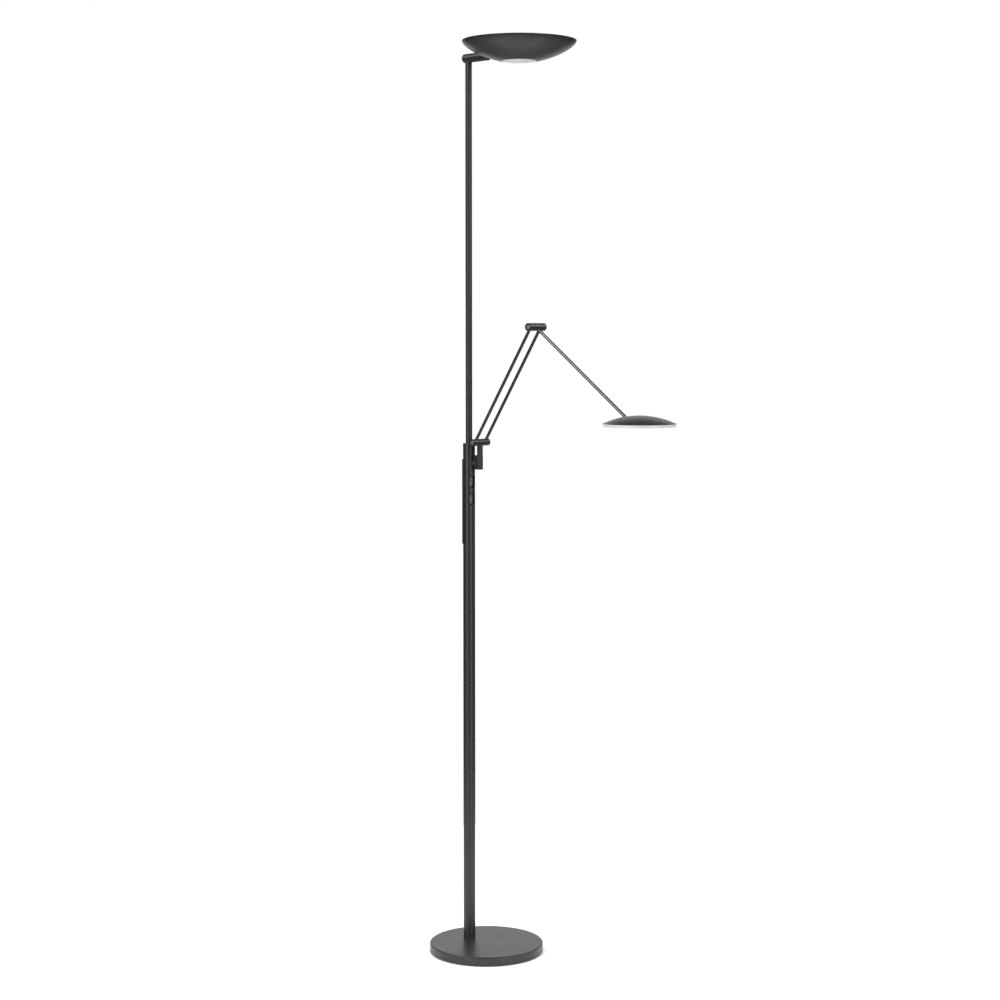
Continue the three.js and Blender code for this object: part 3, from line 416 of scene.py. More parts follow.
column_low, column_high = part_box("column")
column_radius = 12 * mm
column_wall = 1.5 * mm
column_at = Matrix.Translation((pole_axis.x, 0, 0))
slot_width, slot_height, slot_corner = 15.5 * mm, 24.4 * mm, 2.5 * mm
cover_low, cover_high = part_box("rear_cover")
window_width, window_corner, window_margin = 12 * mm, 2 * mm, 18 * mm
window_height = cover_high.z - cover_low.z - 2 * window_margin
screw_hole = 2.1 * mm                  # for a 4 mm screw
small_screw_hole = 1.6 * mm            # for a 3 mm screw or pin


def rounded_box_ring(width, height, corner, steps=8):
    """A rounded rectangle about the origin, as points in a plane."""
    ring = []
    for quarter, (sy, sz) in enumerate(((1, 1), (-1, 1), (-1, -1), (1, -1))):
        for k in range(steps + 1):
            angle = math.pi / 2 * (quarter + k / steps)
            ring.append((sy * (width / 2 - corner) + corner * math.cos(angle),
                         sz * (height / 2 - corner) + corner * math.sin(angle)))
    return ring


def slab_facing_x(ring, low, high, place):
    """A cutter with a ring of (y, z) as its section, from low to high along X."""
    return lofted("tool", [[(x, y, z) for y, z in ring] for x in (low, high)], place)


# A ring of points every 100 mm, and close rings past the slots, so that the wall shades evenly round them.
ring_pitch, close_pitch, close_from = 100 * mm, 6 * mm, 880 * mm
column_levels = [column_low.z, *[column_low.z + i * ring_pitch for i in range(1, 9)],
                 *[close_from + i * close_pitch for i in range(20)], column_high.z]
column_inner = column_radius - column_wall
column_outline = [(column_inner, column_high.z), (column_inner, column_low.z)]
column_outline += [(column_radius, level_z) for level_z in column_levels]
column = turned("column_tube", column_outline, 96, column_at)
screw_heights = [middle(n).z for n in ("rear_cover_screw_top", "rear_cover_screw_bottom")]
mount_height = middle("arm_mount_screw").z
cut(column,
    *[slab_facing_x(rounded_box_ring(slot_width, slot_height, slot_corner), 0, 20 * mm,
                    Matrix.Translation((pole_axis.x, 0, middle(n).z)))
      for n in ("upper_dimmer_housing", "lower_dimmer_housing")],
    drill(screw_hole, 0, 20 * mm, (pole_axis.x, 0, mount_height), (1, 0, 0)),
    slab_facing_x(rounded_box_ring(window_width, window_height, window_corner), -20 * mm, -5 * mm,
                  Matrix.Translation((pole_axis.x, 0, (cover_low.z + cover_high.z) / 2))),
    *[drill(small_screw_hole, 0, 20 * mm, (pole_axis.x, 0, z), (-1, 0, 0)) for z in screw_heights])
settle(column, lacquer, "stand", "graphite_lacquer", "column")
# Screen-printed circuit board: glass fibre under glossy green solder resist.
resist = surface("green_solder_resist", "#2f6b41", "#25573a", 0.7 * mm, 0.03 * mm,
                 {"Roughness": 0.32, "Metallic": 0.0, "IOR": 1.5}, stretch=(1, 1, 0.3), blotch=5 * mm)
coat(resist, "dimmer_board")
coat(nylon, "led_driver")

# ------------------------------------------------------------------ rear cover
# A half-round pressing in the column's lacquer that closes the wiring window. Two countersunk
# cross-head screws, zinc plated, hold it top and bottom.

cover_outer = pole_axis.x - cover_low.x
cover_inner = column_radius + fit
cover_half_angle = math.radians(88)
cover_ease, cover_chamfer = 0.8 * mm, 0.5 * mm
chamfer_steps, cover_steps = 3, 64
screw_head_hole, screw_head_depth = 2.9 * mm, 1.3 * mm


def eased_levels(low, high, ease, steps=4):
    """Heights up a piece with rounded end edges, each with how far its outline is set in there."""
    lower = []
    for k in range(steps + 1):
        turn = math.pi / 2 * k / steps
        lower.append((low + ease * (1 - math.cos(turn)), ease * (1 - math.sin(turn))))
    return lower + [(high - (z - low), inset) for z, inset in reversed(lower)]


cover_rings = []
for z, inset in eased_levels(cover_low.z, cover_high.z, cover_ease):
    outer = cover_outer - inset
    half = cover_half_angle - inset / cover_outer
    edge = []
    for k in range(chamfer_steps + 1):
        share = math.sin(math.pi / 2 * k / chamfer_steps)
        edge.append((outer - cover_chamfer * (1 - share), half - cover_chamfer / outer * share))
    back = [(outer, edge[-1][1] * (1 - 2 * k / cover_steps)) for k in range(1, cover_steps)]
    other_edge = [(r, -angle) for r, angle in reversed(edge)]
    inside = [(cover_inner, half * (2 * k / cover_steps - 1)) for k in range(cover_steps + 1)]
    cover_rings.append([(-r * math.cos(angle), r * math.sin(angle), z)
                        for r, angle in edge + back + other_edge + inside])
rear_cover = lofted("rear_cover_pressed", cover_rings, column_at)
cut(rear_cover,
    *[drill(small_screw_hole, 0, 20 * mm, (pole_axis.x, 0, z), (-1, 0, 0)) for z in screw_heights],
    *[drill(screw_head_hole, -2 * mm, screw_head_depth, (cover_low.x, 0, z), (1, 0, 0), 48)
      for z in screw_heights])
settle(rear_cover, lacquer, "stand", "graphite_lacquer", "rear_cover")


def node_tree(name, inputs):
    """A geometry node tree with named inputs for its sizes."""
    tree = bpy.data.node_groups.new(name, "GeometryNodeTree")
    tree.interface.new_socket("Geometry", in_out="INPUT", socket_type="NodeSocketGeometry")
    for label, (kind, value) in inputs.items():
        tree.interface.new_socket(label, in_out="INPUT", socket_type=kind).default_value = value
    tree.interface.new_socket("Geometry", in_out="OUTPUT", socket_type="NodeSocketGeometry")
    return tree, add(tree, "NodeGroupInput")


def grown(name, points, tree, values, place=Matrix()):
    """Runs a geometry node tree on a few points and keeps the result as a plain mesh."""
    data = bpy.data.meshes.new(name)
    data.from_pydata([tuple(p) for p in points], [], [])
    piece = bpy.data.objects.new(name, data)
    bpy.context.scene.collection.objects.link(piece)
    maker = piece.modifiers.new("maker", "NODES")
    maker.node_group = tree
    for item in tree.interface.items_tree:
        if item.in_out == "INPUT" and item.name in values:
            maker[item.identifier] = values[item.name]
    evaluated(piece)
    piece.data.transform(place)
    return piece


# The screw: a flat head with a cross recess, and a plain shank, at each point it is given, head to -X.
screws, sizes = node_tree("cross_head_screws", {
    "Head radius": ("NodeSocketFloat", 2.8 * mm), "Head depth": ("NodeSocketFloat", 1.2 * mm),
    "Shank radius": ("NodeSocketFloat", 1.5 * mm), "Shank length": ("NodeSocketFloat", 4 * mm),
    "Recess width": ("NodeSocketFloat", 0.7 * mm)})
head = add(screws, "GeometryNodeMeshCylinder", {"Vertices": 48},
           {"Radius": sizes.outputs["Head radius"], "Depth": sizes.outputs["Head depth"]})
shank = add(screws, "GeometryNodeMeshCylinder", {"Vertices": 32},
            {"Radius": sizes.outputs["Shank radius"], "Depth": sizes.outputs["Shank length"]})
shank_drop = add(screws, "ShaderNodeMath", {"operation": "MULTIPLY", 1: 0.5},
                 {0: sizes.outputs["Shank length"]})
shank_shift = add(screws, "ShaderNodeCombineXYZ", {}, {"Z": shank_drop.outputs[0]})
shank_down = add(screws, "GeometryNodeTransform", {},
                 {"Geometry": shank.outputs["Mesh"], "Translation": shank_shift.outputs[0]})
recess_size = add(screws, "ShaderNodeCombineXYZ", {"Y": 3.4 * mm, "Z": 1.1 * mm},
                  {"X": sizes.outputs["Recess width"]})
recess_bar = add(screws, "GeometryNodeMeshCube", {}, {"Size": recess_size.outputs[0]})
recess_up = add(screws, "GeometryNodeTransform", {"Translation": (0, 0, -0.6 * mm)},
                {"Geometry": recess_bar.outputs["Mesh"]})
recess_turned = add(screws, "GeometryNodeTransform", {"Rotation": (0, 0, math.pi / 2)},
                    {"Geometry": recess_up.outputs[0]})
recess = add(screws, "GeometryNodeMeshBoolean", {"operation": "UNION", "solver": "EXACT"})
recess_cut = add(screws, "GeometryNodeMeshBoolean", {"operation": "DIFFERENCE", "solver": "EXACT"})
solid_screw = add(screws, "GeometryNodeMeshBoolean", {"operation": "UNION", "solver": "EXACT"})
for socket in (recess_up.outputs[0], recess_turned.outputs[0]):
    screws.links.new(socket, recess.inputs["Mesh 2"])
for socket in (head.outputs["Mesh"], shank_down.outputs[0]):
    screws.links.new(socket, solid_screw.inputs["Mesh 2"])
screws.links.new(solid_screw.outputs[0], recess_cut.inputs["Mesh 1"])
screws.links.new(recess.outputs[0], recess_cut.inputs["Mesh 2"])
each_screw = add(screws, "GeometryNodeInstanceOnPoints", {"Rotation": (0, math.pi / 2, 0)},
                 {"Points": sizes.outputs["Geometry"], "Instance": recess_cut.outputs[0]})
real_screws = add(screws, "GeometryNodeRealizeInstances", {}, {"Geometry": each_screw.outputs[0]})
zinc_screws = add(screws, "GeometryNodeSetMaterial", {"Material": zinc}, {"Geometry": real_screws.outputs[0]})
add(screws, "NodeGroupOutput", {}, {0: zinc_screws.outputs[0]})

screw_low, screw_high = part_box("rear_cover_screw_top")
head_half = 0.6 * mm
cover_screws = grown("rear_cover_screws", [(screw_low.x + head_half, 0, z) for z in screw_heights], screws, {
    "Shank length": screw_high.x - screw_low.x - head_half})
settle(cover_screws, zinc, "stand", "zinc_steel", "rear_cover_screw_top", "rear_cover_screw_bottom")

# ------------------------------------------------------------------ dimmers
# Two moulded black cups clipped into the column's slots, each with a grey rocker paddle. The paddle has
# two finger humps with fine grip ribs, and rocks on a pin through its middle.

# ABS moulded in grey: a soft sheen with a light etched texture.
grey_abs = surface("moulded_grey_abs", "#7a7a79", "#6e6e6d", 0.45 * mm, 0.025 * mm,
                   {"Roughness": 0.42, "Metallic": 0.0, "IOR": 1.54}, blotch=9 * mm)
cup_wall, cup_ease, cup_corner = 1 * mm, 0.4 * mm, 0.1 * mm
hump_spacing, hump_depth = 9 * mm, 1.1 * mm
grip_spacing, grip_depth = 0.9 * mm, 0.1 * mm
paddle_back = 2.2 * mm
pad_ease = 0.5 * mm
pad_stations, pad_steps, pad_front_steps = 97, 4, 8

for name, body in (("upper_dimmer", "upper_paddle"), ("lower_dimmer", "lower_paddle")):
    cup_low, cup_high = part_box(f"{name}_housing")
    cup_middle = (cup_low + cup_high) / 2
    width, height = cup_high.y - cup_low.y, cup_high.z - cup_low.z
    # each row: how far in from the outside, and which X, from the floor outside to the floor inside
    cup_rings = []
    for inset, x in (
            (cup_ease, cup_low.x), (cup_corner, cup_low.x + cup_corner), (0, cup_low.x + cup_ease),
            (0, cup_high.x - cup_ease), (cup_corner, cup_high.x - cup_corner), (cup_ease, cup_high.x),
            (cup_wall - cup_ease, cup_high.x), (cup_wall - cup_corner, cup_high.x - cup_corner),
            (cup_wall, cup_high.x - cup_ease), (cup_wall, cup_low.x + cup_wall + cup_ease),
            (cup_wall + cup_corner, cup_low.x + cup_wall + cup_corner),
            (cup_wall + cup_ease, cup_low.x + cup_wall)):
        section = rounded_box_ring(width - 2 * inset, height - 2 * inset, max(slot_corner - inset, cup_ease))
        cup_rings.append([(x, cup_middle.y + y, cup_middle.z + z) for y, z in section])
    settle(lofted(f"{name}_cup", cup_rings), nylon, "stand", "black_plastic", f"{name}_housing")

    pad_low, pad_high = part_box(f"{name}_paddle")
    pad_middle_z = (pad_low.z + pad_high.z) / 2
    half_width, half_height = (pad_high.y - pad_low.y) / 2, (pad_high.z - pad_low.z) / 2
    pad_rings = []
    for i in range(pad_stations):
        z = half_height * (2 * i / (pad_stations - 1) - 1)
        from_end = half_height - abs(z)
        end_ease = pad_ease * (1 - math.sqrt(1 - max(0, 1 - from_end / pad_ease) ** 2))
        wave = (1 - math.cos(math.tau * z / hump_spacing)) / 2
        grip = grip_depth * (1 - math.cos(math.tau * z / grip_spacing)) / 2
        front = pad_high.x - hump_depth * (1 - wave) - grip * wave - end_ease
        roof = 1 - abs(z) / half_height
        back_edge = pad_high.x - hump_depth - paddle_back + pad_ease
        back = back_edge + (pad_low.x - back_edge) * roof + end_ease * 0.5
        side = half_width - end_ease * 0.6
        corner = []
        for k in range(pad_steps + 1):
            turn = math.pi / 2 * k / pad_steps
            corner.append((front - pad_ease * (1 - math.sin(turn)), side - pad_ease * (1 - math.cos(turn))))
        face = [(front, 0.93 * side * (1 - 2 * k / pad_front_steps)) for k in range(1, pad_front_steps)]
        ring = corner + face + [(x, -y) for x, y in reversed(corner)] + [(back, -side), (back, side)]
        pad_rings.append([(x, y, pad_middle_z + z) for x, y in ring])
    settle(lofted(f"{name}_rocker", pad_rings), grey_abs, body, "grey_plastic", f"{name}_paddle")

# ------------------------------------------------------------------ upper pole
# A thin steel tube, 13.2 mm across, pressed into a turned cap that closes the column. A plated spigot in
# its top end is the pivot that the dish's bracket turns on.

cap_low, cap_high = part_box("column_cap")
pole_low, pole_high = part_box("upper_pole")
pole_radius = (pole_high.y - pole_low.y) / 2
cap_flange = 1.6 * mm
cap = turned("column_cap_turned", eased([
    (pole_radius + fit, cap_low.z, 0.2 * mm),
    (column_inner - fit, cap_low.z, 0.5 * mm),
    (column_inner - fit, cap_high.z - cap_flange, 0),
    (column_radius, cap_high.z - cap_flange, 0.25 * mm),
    (column_radius, cap_high.z, 0.6 * mm),
    (pole_radius + fit, cap_high.z, 0.3 * mm)], ring=True), 96, column_at)
settle(cap, lacquer, "stand", "graphite_lacquer", "column_cap")

pole_wall = 1.2 * mm
pole_inner = pole_radius - pole_wall
pole = turned("upper_pole_tube", eased([
    (pole_inner, pole_low.z, 0.3 * mm), (pole_radius, pole_low.z, 0.3 * mm),
    (pole_radius, pole_high.z, 0.4 * mm), (pole_inner, pole_high.z, 0.3 * mm)], ring=True), 72, column_at)
settle(pole, lacquer, "stand", "graphite_lacquer", "upper_pole")
coat(zinc, "pole_spigot")

# ------------------------------------------------------------------ arm mount
# A die-cast holder screwed to the column from inside. The arm's post stands in its bore and turns there;
# a socket set screw in its side sets how stiffly.

holder_low, holder_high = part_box("arm_holder")
post_low, post_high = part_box("swivel_post")
post_x = (post_low.x + post_high.x) / 2
holder_radius = (holder_high.y - holder_low.y) / 2
holder_back = 7 * mm
holder_ease = 0.7 * mm
half_round_steps = 32
boss_radius = 5.2 * mm
saddle_half = 9 * mm
post_bore, bore_floor = 4.1 * mm, 4 * mm
holder_rings = []
for z, inset in eased_levels(holder_low.z, holder_high.z, holder_ease):
    ring = []
    for back, start in ((0, -math.pi / 2), (holder_back, math.pi / 2)):
        for k in range(half_round_steps + 1):
            turn = start + math.pi * k / half_round_steps
            ring.append(((holder_radius - inset) * math.cos(turn) - back,
                         (holder_radius - inset) * math.sin(turn), z))
    holder_rings.append(ring)
post_at = Matrix.Translation((post_x, 0, 0))
holder = lofted("arm_holder_cast", holder_rings, post_at)
grub_height = middle("arm_grub_screw").z
cut(holder, drill(boss_radius, -24 * mm, -holder_back, (post_x, 0, mount_height), (1, 0, 0), 96),
    operation="UNION")
cut(holder,
    drill(column_radius + fit, mount_height - saddle_half, mount_height + saddle_half, (pole_axis.x, 0, 0),
          facets=96),
    drill(post_bore, holder_low.z + bore_floor, holder_high.z + 1 * mm, (post_x, 0, 0)),
    drill(screw_hole, -25 * mm, -6 * mm, (post_x, 0, mount_height), (1, 0, 0), 48),
    drill(screw_hole, 0, 8 * mm, (post_x, 0, grub_height), (0, 1, 0), 48))
settle(holder, lacquer, "stand", "graphite_lacquer", "arm_holder")

grub_low, grub_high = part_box("arm_grub_screw")
grub_radius, grub_socket, grub_socket_depth = 2 * mm, 1.1 * mm, 0.9 * mm
grub_length = grub_high.y - grub_low.y
grub = turned("set_screw", eased([
    (0, 0, 0), (grub_radius, 0, 0.3 * mm), (grub_radius, grub_length, 0.2 * mm), (0, grub_length, 0)]), 48,
    toward((0, 1, 0), (post_x, grub_low.y, grub_height)))
cut(grub, drill(grub_socket, -grub_socket_depth, 1 * mm, (post_x, grub_high.y, grub_height), (0, 1, 0), 6))
settle(grub, zinc, "stand", "zinc_steel", "arm_grub_screw")
coat(zinc, "arm_mount_screw")

post_radius = (post_high.y - post_low.y) / 2
post_neck = 4 * mm
post_shoulder = holder_high.z + 0.2 * mm
post = turned("swivel_post_turned", eased([
    (0, post_low.z, 0), (post_neck, post_low.z, 0.4 * mm), (post_neck, post_shoulder, 0),
    (post_radius, post_shoulder, 0.4 * mm), (post_radius, post_high.z, 0.3 * mm),
    (0, post_high.z, 0)]), 72, post_at)
settle(post, lacquer, "arm_base", "graphite_lacquer", "swivel_post")

# ------------------------------------------------------------------ hinge bars
# Each hinge is a round steel bar in three lengths on one through bolt: a hub in the middle and a knuckle
# at each end that holds a rod. The bolt heads are bright, and sit in recesses in the bar's ends.

# Black nickel plate over polished steel: a mid grey mirror, slightly warm, with a fine polish.
nickel = surface("dark_nickel_plate", "#807f7c", "#7a7976", 0.5 * mm, 0.001 * mm,
                 {"Roughness": 0.24, "Metallic": 1.0}, blotch=25 * mm, rough_spread=0.02)
# The bolts are plated the same way, but paler and left satin, so their heads show against the lacquer.
satin_nickel = surface("satin_nickel_plate", "#c9c8c4", "#bcbbb7", 0.4 * mm, 0.002 * mm,
                       {"Roughness": 0.4, "Metallic": 1.0}, blotch=4 * mm, rough_spread=0.04)
bolt_hole = 2.6 * mm
bar_ease = 0.7 * mm
recess_radius, recess_depth = 4.3 * mm, 4.2 * mm
rod_hole, rod_hole_from, rod_hole_to = 3.3 * mm, 3.3 * mm, 12 * mm
bolt_head, bolt_head_depth, bolt_shank = 4.2 * mm, 3.4 * mm, 2.5 * mm
hex_socket, hex_socket_depth = 1.73 * mm, 1.8 * mm


def hinge_bar(name, hub_node):
    """Dresses the hub, knuckles, bolt and nut of one hinge bar, which lies along Y."""
    hub_low, hub_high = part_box(hub_node)
    centre = middle(f"{name}_bolt")
    radius = (hub_high.x - hub_low.x) / 2
    hub_half = (hub_high.y - hub_low.y) / 2
    hub = turned(f"{name}_hub_turned", eased([
        (bolt_hole, -hub_half, 0.2 * mm), (radius, -hub_half, 0.5 * mm),
        (radius, hub_half, 0.5 * mm), (bolt_hole, hub_half, 0.2 * mm)], ring=True), 96,
        toward((0, 1, 0), centre))
    for side, sign in (("right", -1), ("left", 1)):
        node = f"{name}_knuckle_{side}"
        low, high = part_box(node)
        inner, outer = sorted((abs(low.y), abs(high.y)))
        knuckle = turned(f"{node}_turned", eased([
            (bolt_hole, inner, 0.2 * mm), (radius, inner, 0.5 * mm), (radius, outer, bar_ease),
            (recess_radius, outer, 0.4 * mm), (recess_radius, outer - recess_depth, 0.2 * mm),
            (bolt_hole, outer - recess_depth, 0.1 * mm)], ring=True), 96, toward((0, sign, 0), centre))
        rod_middle = middle(f"arm_rod_{side}")
        line = (Vector((rod_middle.x, 0, rod_middle.z)) - Vector((centre.x, 0, centre.z))).normalized()
        rod_foot = (centre.x, rod_middle.y, centre.z)
        cut(knuckle, drill(rod_hole, rod_hole_from, rod_hole_to, rod_foot, line, 48))
        settle(knuckle, lacquer, "lower_arm", "graphite_lacquer", node)
    bolt_low, bolt_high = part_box(f"{name}_bolt")
    bolt_length = bolt_high.y - bolt_low.y
    bolt_end = (centre.x, bolt_low.y, centre.z)
    bolt = turned(f"{name}_bolt_socket_head", eased([
        (0, 0, 0), (bolt_head, 0, 0.6 * mm), (bolt_head, bolt_head_depth, 0.2 * mm),
        (bolt_shank, bolt_head_depth, 0.1 * mm), (bolt_shank, bolt_length, 0.4 * mm),
        (0, bolt_length, 0)]), 64, toward((0, 1, 0), bolt_end))
    cut(bolt, drill(hex_socket, -1 * mm, hex_socket_depth, bolt_end, (0, 1, 0), 6))
    settle(bolt, satin_nickel, "lower_arm", "bright_steel", f"{name}_bolt")
    nut_low, nut_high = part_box(f"{name}_nut")
    nut_length = nut_high.y - nut_low.y
    nut_reach = max(nut_high.x - nut_low.x, nut_high.z - nut_low.z) / 2
    nut = turned(f"{name}_nut_hexagon", [(bolt_hole, 0), (nut_reach, 0), (nut_reach, nut_length),
                                         (bolt_hole, nut_length)], 6,
                 toward((0, 1, 0), (centre.x, nut_low.y, centre.z)))
    chamfer = nut.modifiers.new("chamfer", "BEVEL")
    chamfer.width, chamfer.segments, chamfer.limit_method = 0.3 * mm, 2, "ANGLE"
    settle(evaluated(nut), zinc, "lower_arm", "zinc_steel", f"{name}_nut")
    return hub, centre


lower_hub, lower_pivot = hinge_bar("lower_hinge", "lower_hinge_hub")
cut(lower_hub,
    drill(post_radius + fit, -12 * mm, post_high.z - lower_pivot.z + fit, lower_pivot, facets=72))
settle(lower_hub, lacquer, "arm_base", "graphite_lacquer", "lower_hinge_hub")

elbow_hub, elbow = hinge_bar("elbow", "elbow_hub")
head_pivot = middle("head_hinge_pin")
upper_line = (head_pivot - elbow).normalized()
cut(elbow_hub, drill(rod_hole, rod_hole_from, rod_hole_to, elbow, upper_line, 48))
settle(elbow_hub, lacquer, "upper_arm", "graphite_lacquer", "elbow_hub")

# ------------------------------------------------------------------ arm rods
# Two 6 mm steel rods side by side, lacquered, pressed into the knuckles of both hinges and flared a
# little where they enter them.

rods, sizes = node_tree("straight_rod", {
    "Start": ("NodeSocketVector", (0, 0, 0)), "End": ("NodeSocketVector", (0, 0, 1)),
    "Radius": ("NodeSocketFloat", 3 * mm), "Flare": ("NodeSocketFloat", 0.1),
    "Flare length": ("NodeSocketFloat", 0.05)})
line = add(rods, "GeometryNodeCurvePrimitiveLine", {},
           {"Start": sizes.outputs["Start"], "End": sizes.outputs["End"]})
steps = add(rods, "GeometryNodeResampleCurve", {"Count": 121}, {"Curve": line.outputs[0]})
along = add(rods, "GeometryNodeSplineParameter")
from_middle = add(rods, "ShaderNodeMath", {"operation": "PINGPONG", 1: 0.5}, {0: along.outputs["Factor"]})
swell = add(rods, "ShaderNodeMapRange", {"interpolation_type": "SMOOTHSTEP", "From Min": 0.0, "To Max": 1.0},
            {"Value": from_middle.outputs[0], "From Max": sizes.outputs["Flare length"],
             "To Min": add(rods, "ShaderNodeMath", {"operation": "ADD", 1: 1.0},
                           {0: sizes.outputs["Flare"]}).outputs[0]})
scaled = add(rods, "GeometryNodeSetCurveRadius", {}, {"Curve": steps.outputs[0], "Radius": swell.outputs[0]})
round_section = add(rods, "GeometryNodeCurvePrimitiveCircle", {"Resolution": 40},
                    {"Radius": sizes.outputs["Radius"]})
skinned = add(rods, "GeometryNodeCurveToMesh", {"Fill Caps": True},
              {"Curve": scaled.outputs[0], "Profile Curve": round_section.outputs[0]})
real_rod = add(rods, "GeometryNodeRealizeInstances", {}, {"Geometry": skinned.outputs[0]})
lacquered_rod = add(rods, "GeometryNodeSetMaterial", {"Material": lacquer}, {"Geometry": real_rod.outputs[0]})
add(rods, "NodeGroupOutput", {}, {0: lacquered_rod.outputs[0]})

rod_end_clearance = 3.6 * mm
arm_line = (elbow - lower_pivot).normalized()
for side in ("right", "left"):
    rod_y = Vector((0, middle(f"arm_rod_{side}").y, 0))
    rod = grown(f"arm_rod_{side}_drawn", [(0, 0, 0)], rods, {
        "Start": lower_pivot + rod_y + arm_line * rod_end_clearance,
        "End": elbow + rod_y - arm_line * rod_end_clearance,
        "Flare": 0.09, "Flare length": 0.06})
    settle(rod, lacquer, "lower_arm", "graphite_lacquer", f"arm_rod_{side}")

# The single upper rod is bare nickel plate, and ends in a flat eye on the head's hinge pin.
rod_radius = 3 * mm
eye_radius, eye_half = 4.2 * mm, 3 * mm
reach = (head_pivot - elbow).length
reading_rod = turned("reading_rod_plated", eased([
    (0, rod_end_clearance, 0), (rod_radius, rod_end_clearance, 0.3 * mm), (rod_radius, reach - 1 * mm, 0),
    (0, reach - 1 * mm, 0)]), 64, toward(upper_line, elbow))
eye = turned("tool", eased([
    (0, -eye_half, 0), (eye_radius, -eye_half, 0.4 * mm), (eye_radius, eye_half, 0.4 * mm),
    (0, eye_half, 0)]), 64, toward((0, 1, 0), head_pivot))
cut(reading_rod, eye, operation="UNION")
cut(reading_rod, drill(small_screw_hole, -8 * mm, 8 * mm, head_pivot, (0, 1, 0), 48))
settle(reading_rod, nickel, "upper_arm", "bright_steel", "reading_rod")

# ------------------------------------------------------------------ reading head
# A shallow spun aluminium cap in the same lacquer, over an opal acrylic tray. A plate inside carries the
# light board and a small plated yoke, whose pin takes the rod's eye under a slot in the cap.

dome_low, dome_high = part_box("head_dome")
dome_middle = (dome_low + dome_high) / 2
dome_radius = (dome_high.y - dome_low.y) / 2
dome_height = dome_high.z - dome_low.z
dome_shell = 1.5 * mm
sphere = (dome_radius ** 2 + dome_height ** 2) / (2 * dome_height)
arc_steps = 40
slot_back, slot_front, slot_half = head_pivot.x - 19 * mm, head_pivot.x + 4.6 * mm, 3.7 * mm


def cap_arc(radius):
    """Points of a spherical cap, from its crown to its rim."""
    rim = math.acos((sphere - dome_height) / radius)
    crown = dome_height - sphere
    return [(radius * math.sin(rim * k / arc_steps), crown + radius * math.cos(rim * k / arc_steps))
            for k in range(arc_steps + 1)]


dome = turned("head_cap_spun", cap_arc(sphere - dome_shell) + cap_arc(sphere)[::-1], wide_facets,
              Matrix.Translation((dome_middle.x, 0, dome_low.z)))
slot_ring = rounded_box_ring(slot_front - slot_back, 2 * slot_half, slot_half * 0.98)
slot_middle = slot_back + (slot_front - slot_back) / 2
cut(dome, lofted("tool", [[(slot_middle + x, y, z) for x, y in slot_ring]
                          for z in (dome_low.z + 3 * mm, dome_high.z + 5 * mm)]))
settle(dome, lacquer, "reading_head", "graphite_shade", "head_dome")

# Opal acrylic: milky all through, polished when moulded, with a soft glow under its skin.
opal = surface("opal_acrylic", "#e6e6e3", "#dfdfdc", 2.5 * mm, 0.003 * mm,
               {"Roughness": 0.34, "Metallic": 0.0, "IOR": 1.49, "Subsurface Weight": 0.1,
                "Subsurface Radius": (0.004, 0.004, 0.004), "Subsurface Scale": 1.0},
               blotch=60 * mm, rough_spread=0.05)
tray_low, tray_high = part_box("head_diffuser")
tray_radius = (tray_high.y - tray_low.y) / 2
tray_depth = tray_high.z - tray_low.z
tray_wall = 2 * mm
tray = turned("head_tray_opal", eased([
    (0, 0, 0), (tray_radius, 0, 1.5 * mm), (tray_radius, tray_depth, 0.3 * mm),
    (tray_radius - tray_wall, tray_depth, 0.3 * mm), (tray_radius - tray_wall, tray_wall, 0.6 * mm),
    (0, tray_wall, 0)], steps=6), wide_facets, Matrix.Translation((dome_middle.x, 0, tray_low.z)))
settle(tray, opal, "reading_head", "opal_acrylic", "head_diffuser")

# Rolled aluminium sheet: pale, with straight rolling lines.
rolled = surface("rolled_aluminium", "#c9ccd0", "#b4b8bd", 0.6 * mm, 0.01 * mm,
                 {"Roughness": 0.42, "Metallic": 1.0}, stretch=(0.06, 1, 1), blotch=18 * mm)
# White solder resist: glossy, dense, faintly mottled.
white_resist = surface("white_solder_resist", "#efefec", "#e2e2df", 0.7 * mm, 0.02 * mm,
                       {"Roughness": 0.3, "Metallic": 0.0, "IOR": 1.5}, blotch=7 * mm)
coat(rolled, "head_plate")
coat(white_resist, "head_led_board")
coat(zinc, "head_hinge_bracket", "head_hinge_pin")

# ------------------------------------------------------------------ dish bracket
# A solid round bar drilled for the pole and its spigot, grooved along both sides from the pole forward,
# and lacquered with the rest. Its nose passes through the back of the dish.

bar_low, bar_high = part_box("bracket_bar")
bar_radius = (bar_high.y - bar_low.y) / 2
bar_axis = (bar_low.z + bar_high.z) / 2
bar_length = bar_high.x - bar_low.x
bar = turned("bracket_bar_turned", eased([
    (0, 0, 0), (bar_radius, 0, 1.1 * mm), (bar_radius, bar_length, 1.1 * mm), (0, bar_length, 0)]), 96,
    toward((1, 0, 0), (bar_low.x, 0, bar_axis)))
groove_height, groove_depth = 1.2 * mm, 0.6 * mm
socket_depth, spigot_hole, spigot_depth = 5.4 * mm, 3.1 * mm, 12.5 * mm


def groove(side):
    """A cutter for the groove in one side of the bar, from the pole forward."""
    low_y, high_y = side * bar_radius - groove_depth, side * bar_radius + groove_depth
    low_z, high_z = bar_axis - groove_height / 2, bar_axis + groove_height / 2
    return slab_facing_x([(low_y, low_z), (high_y, low_z), (high_y, high_z), (low_y, high_z)],
                         pole_axis.x, bar_high.x + 1 * mm, Matrix())


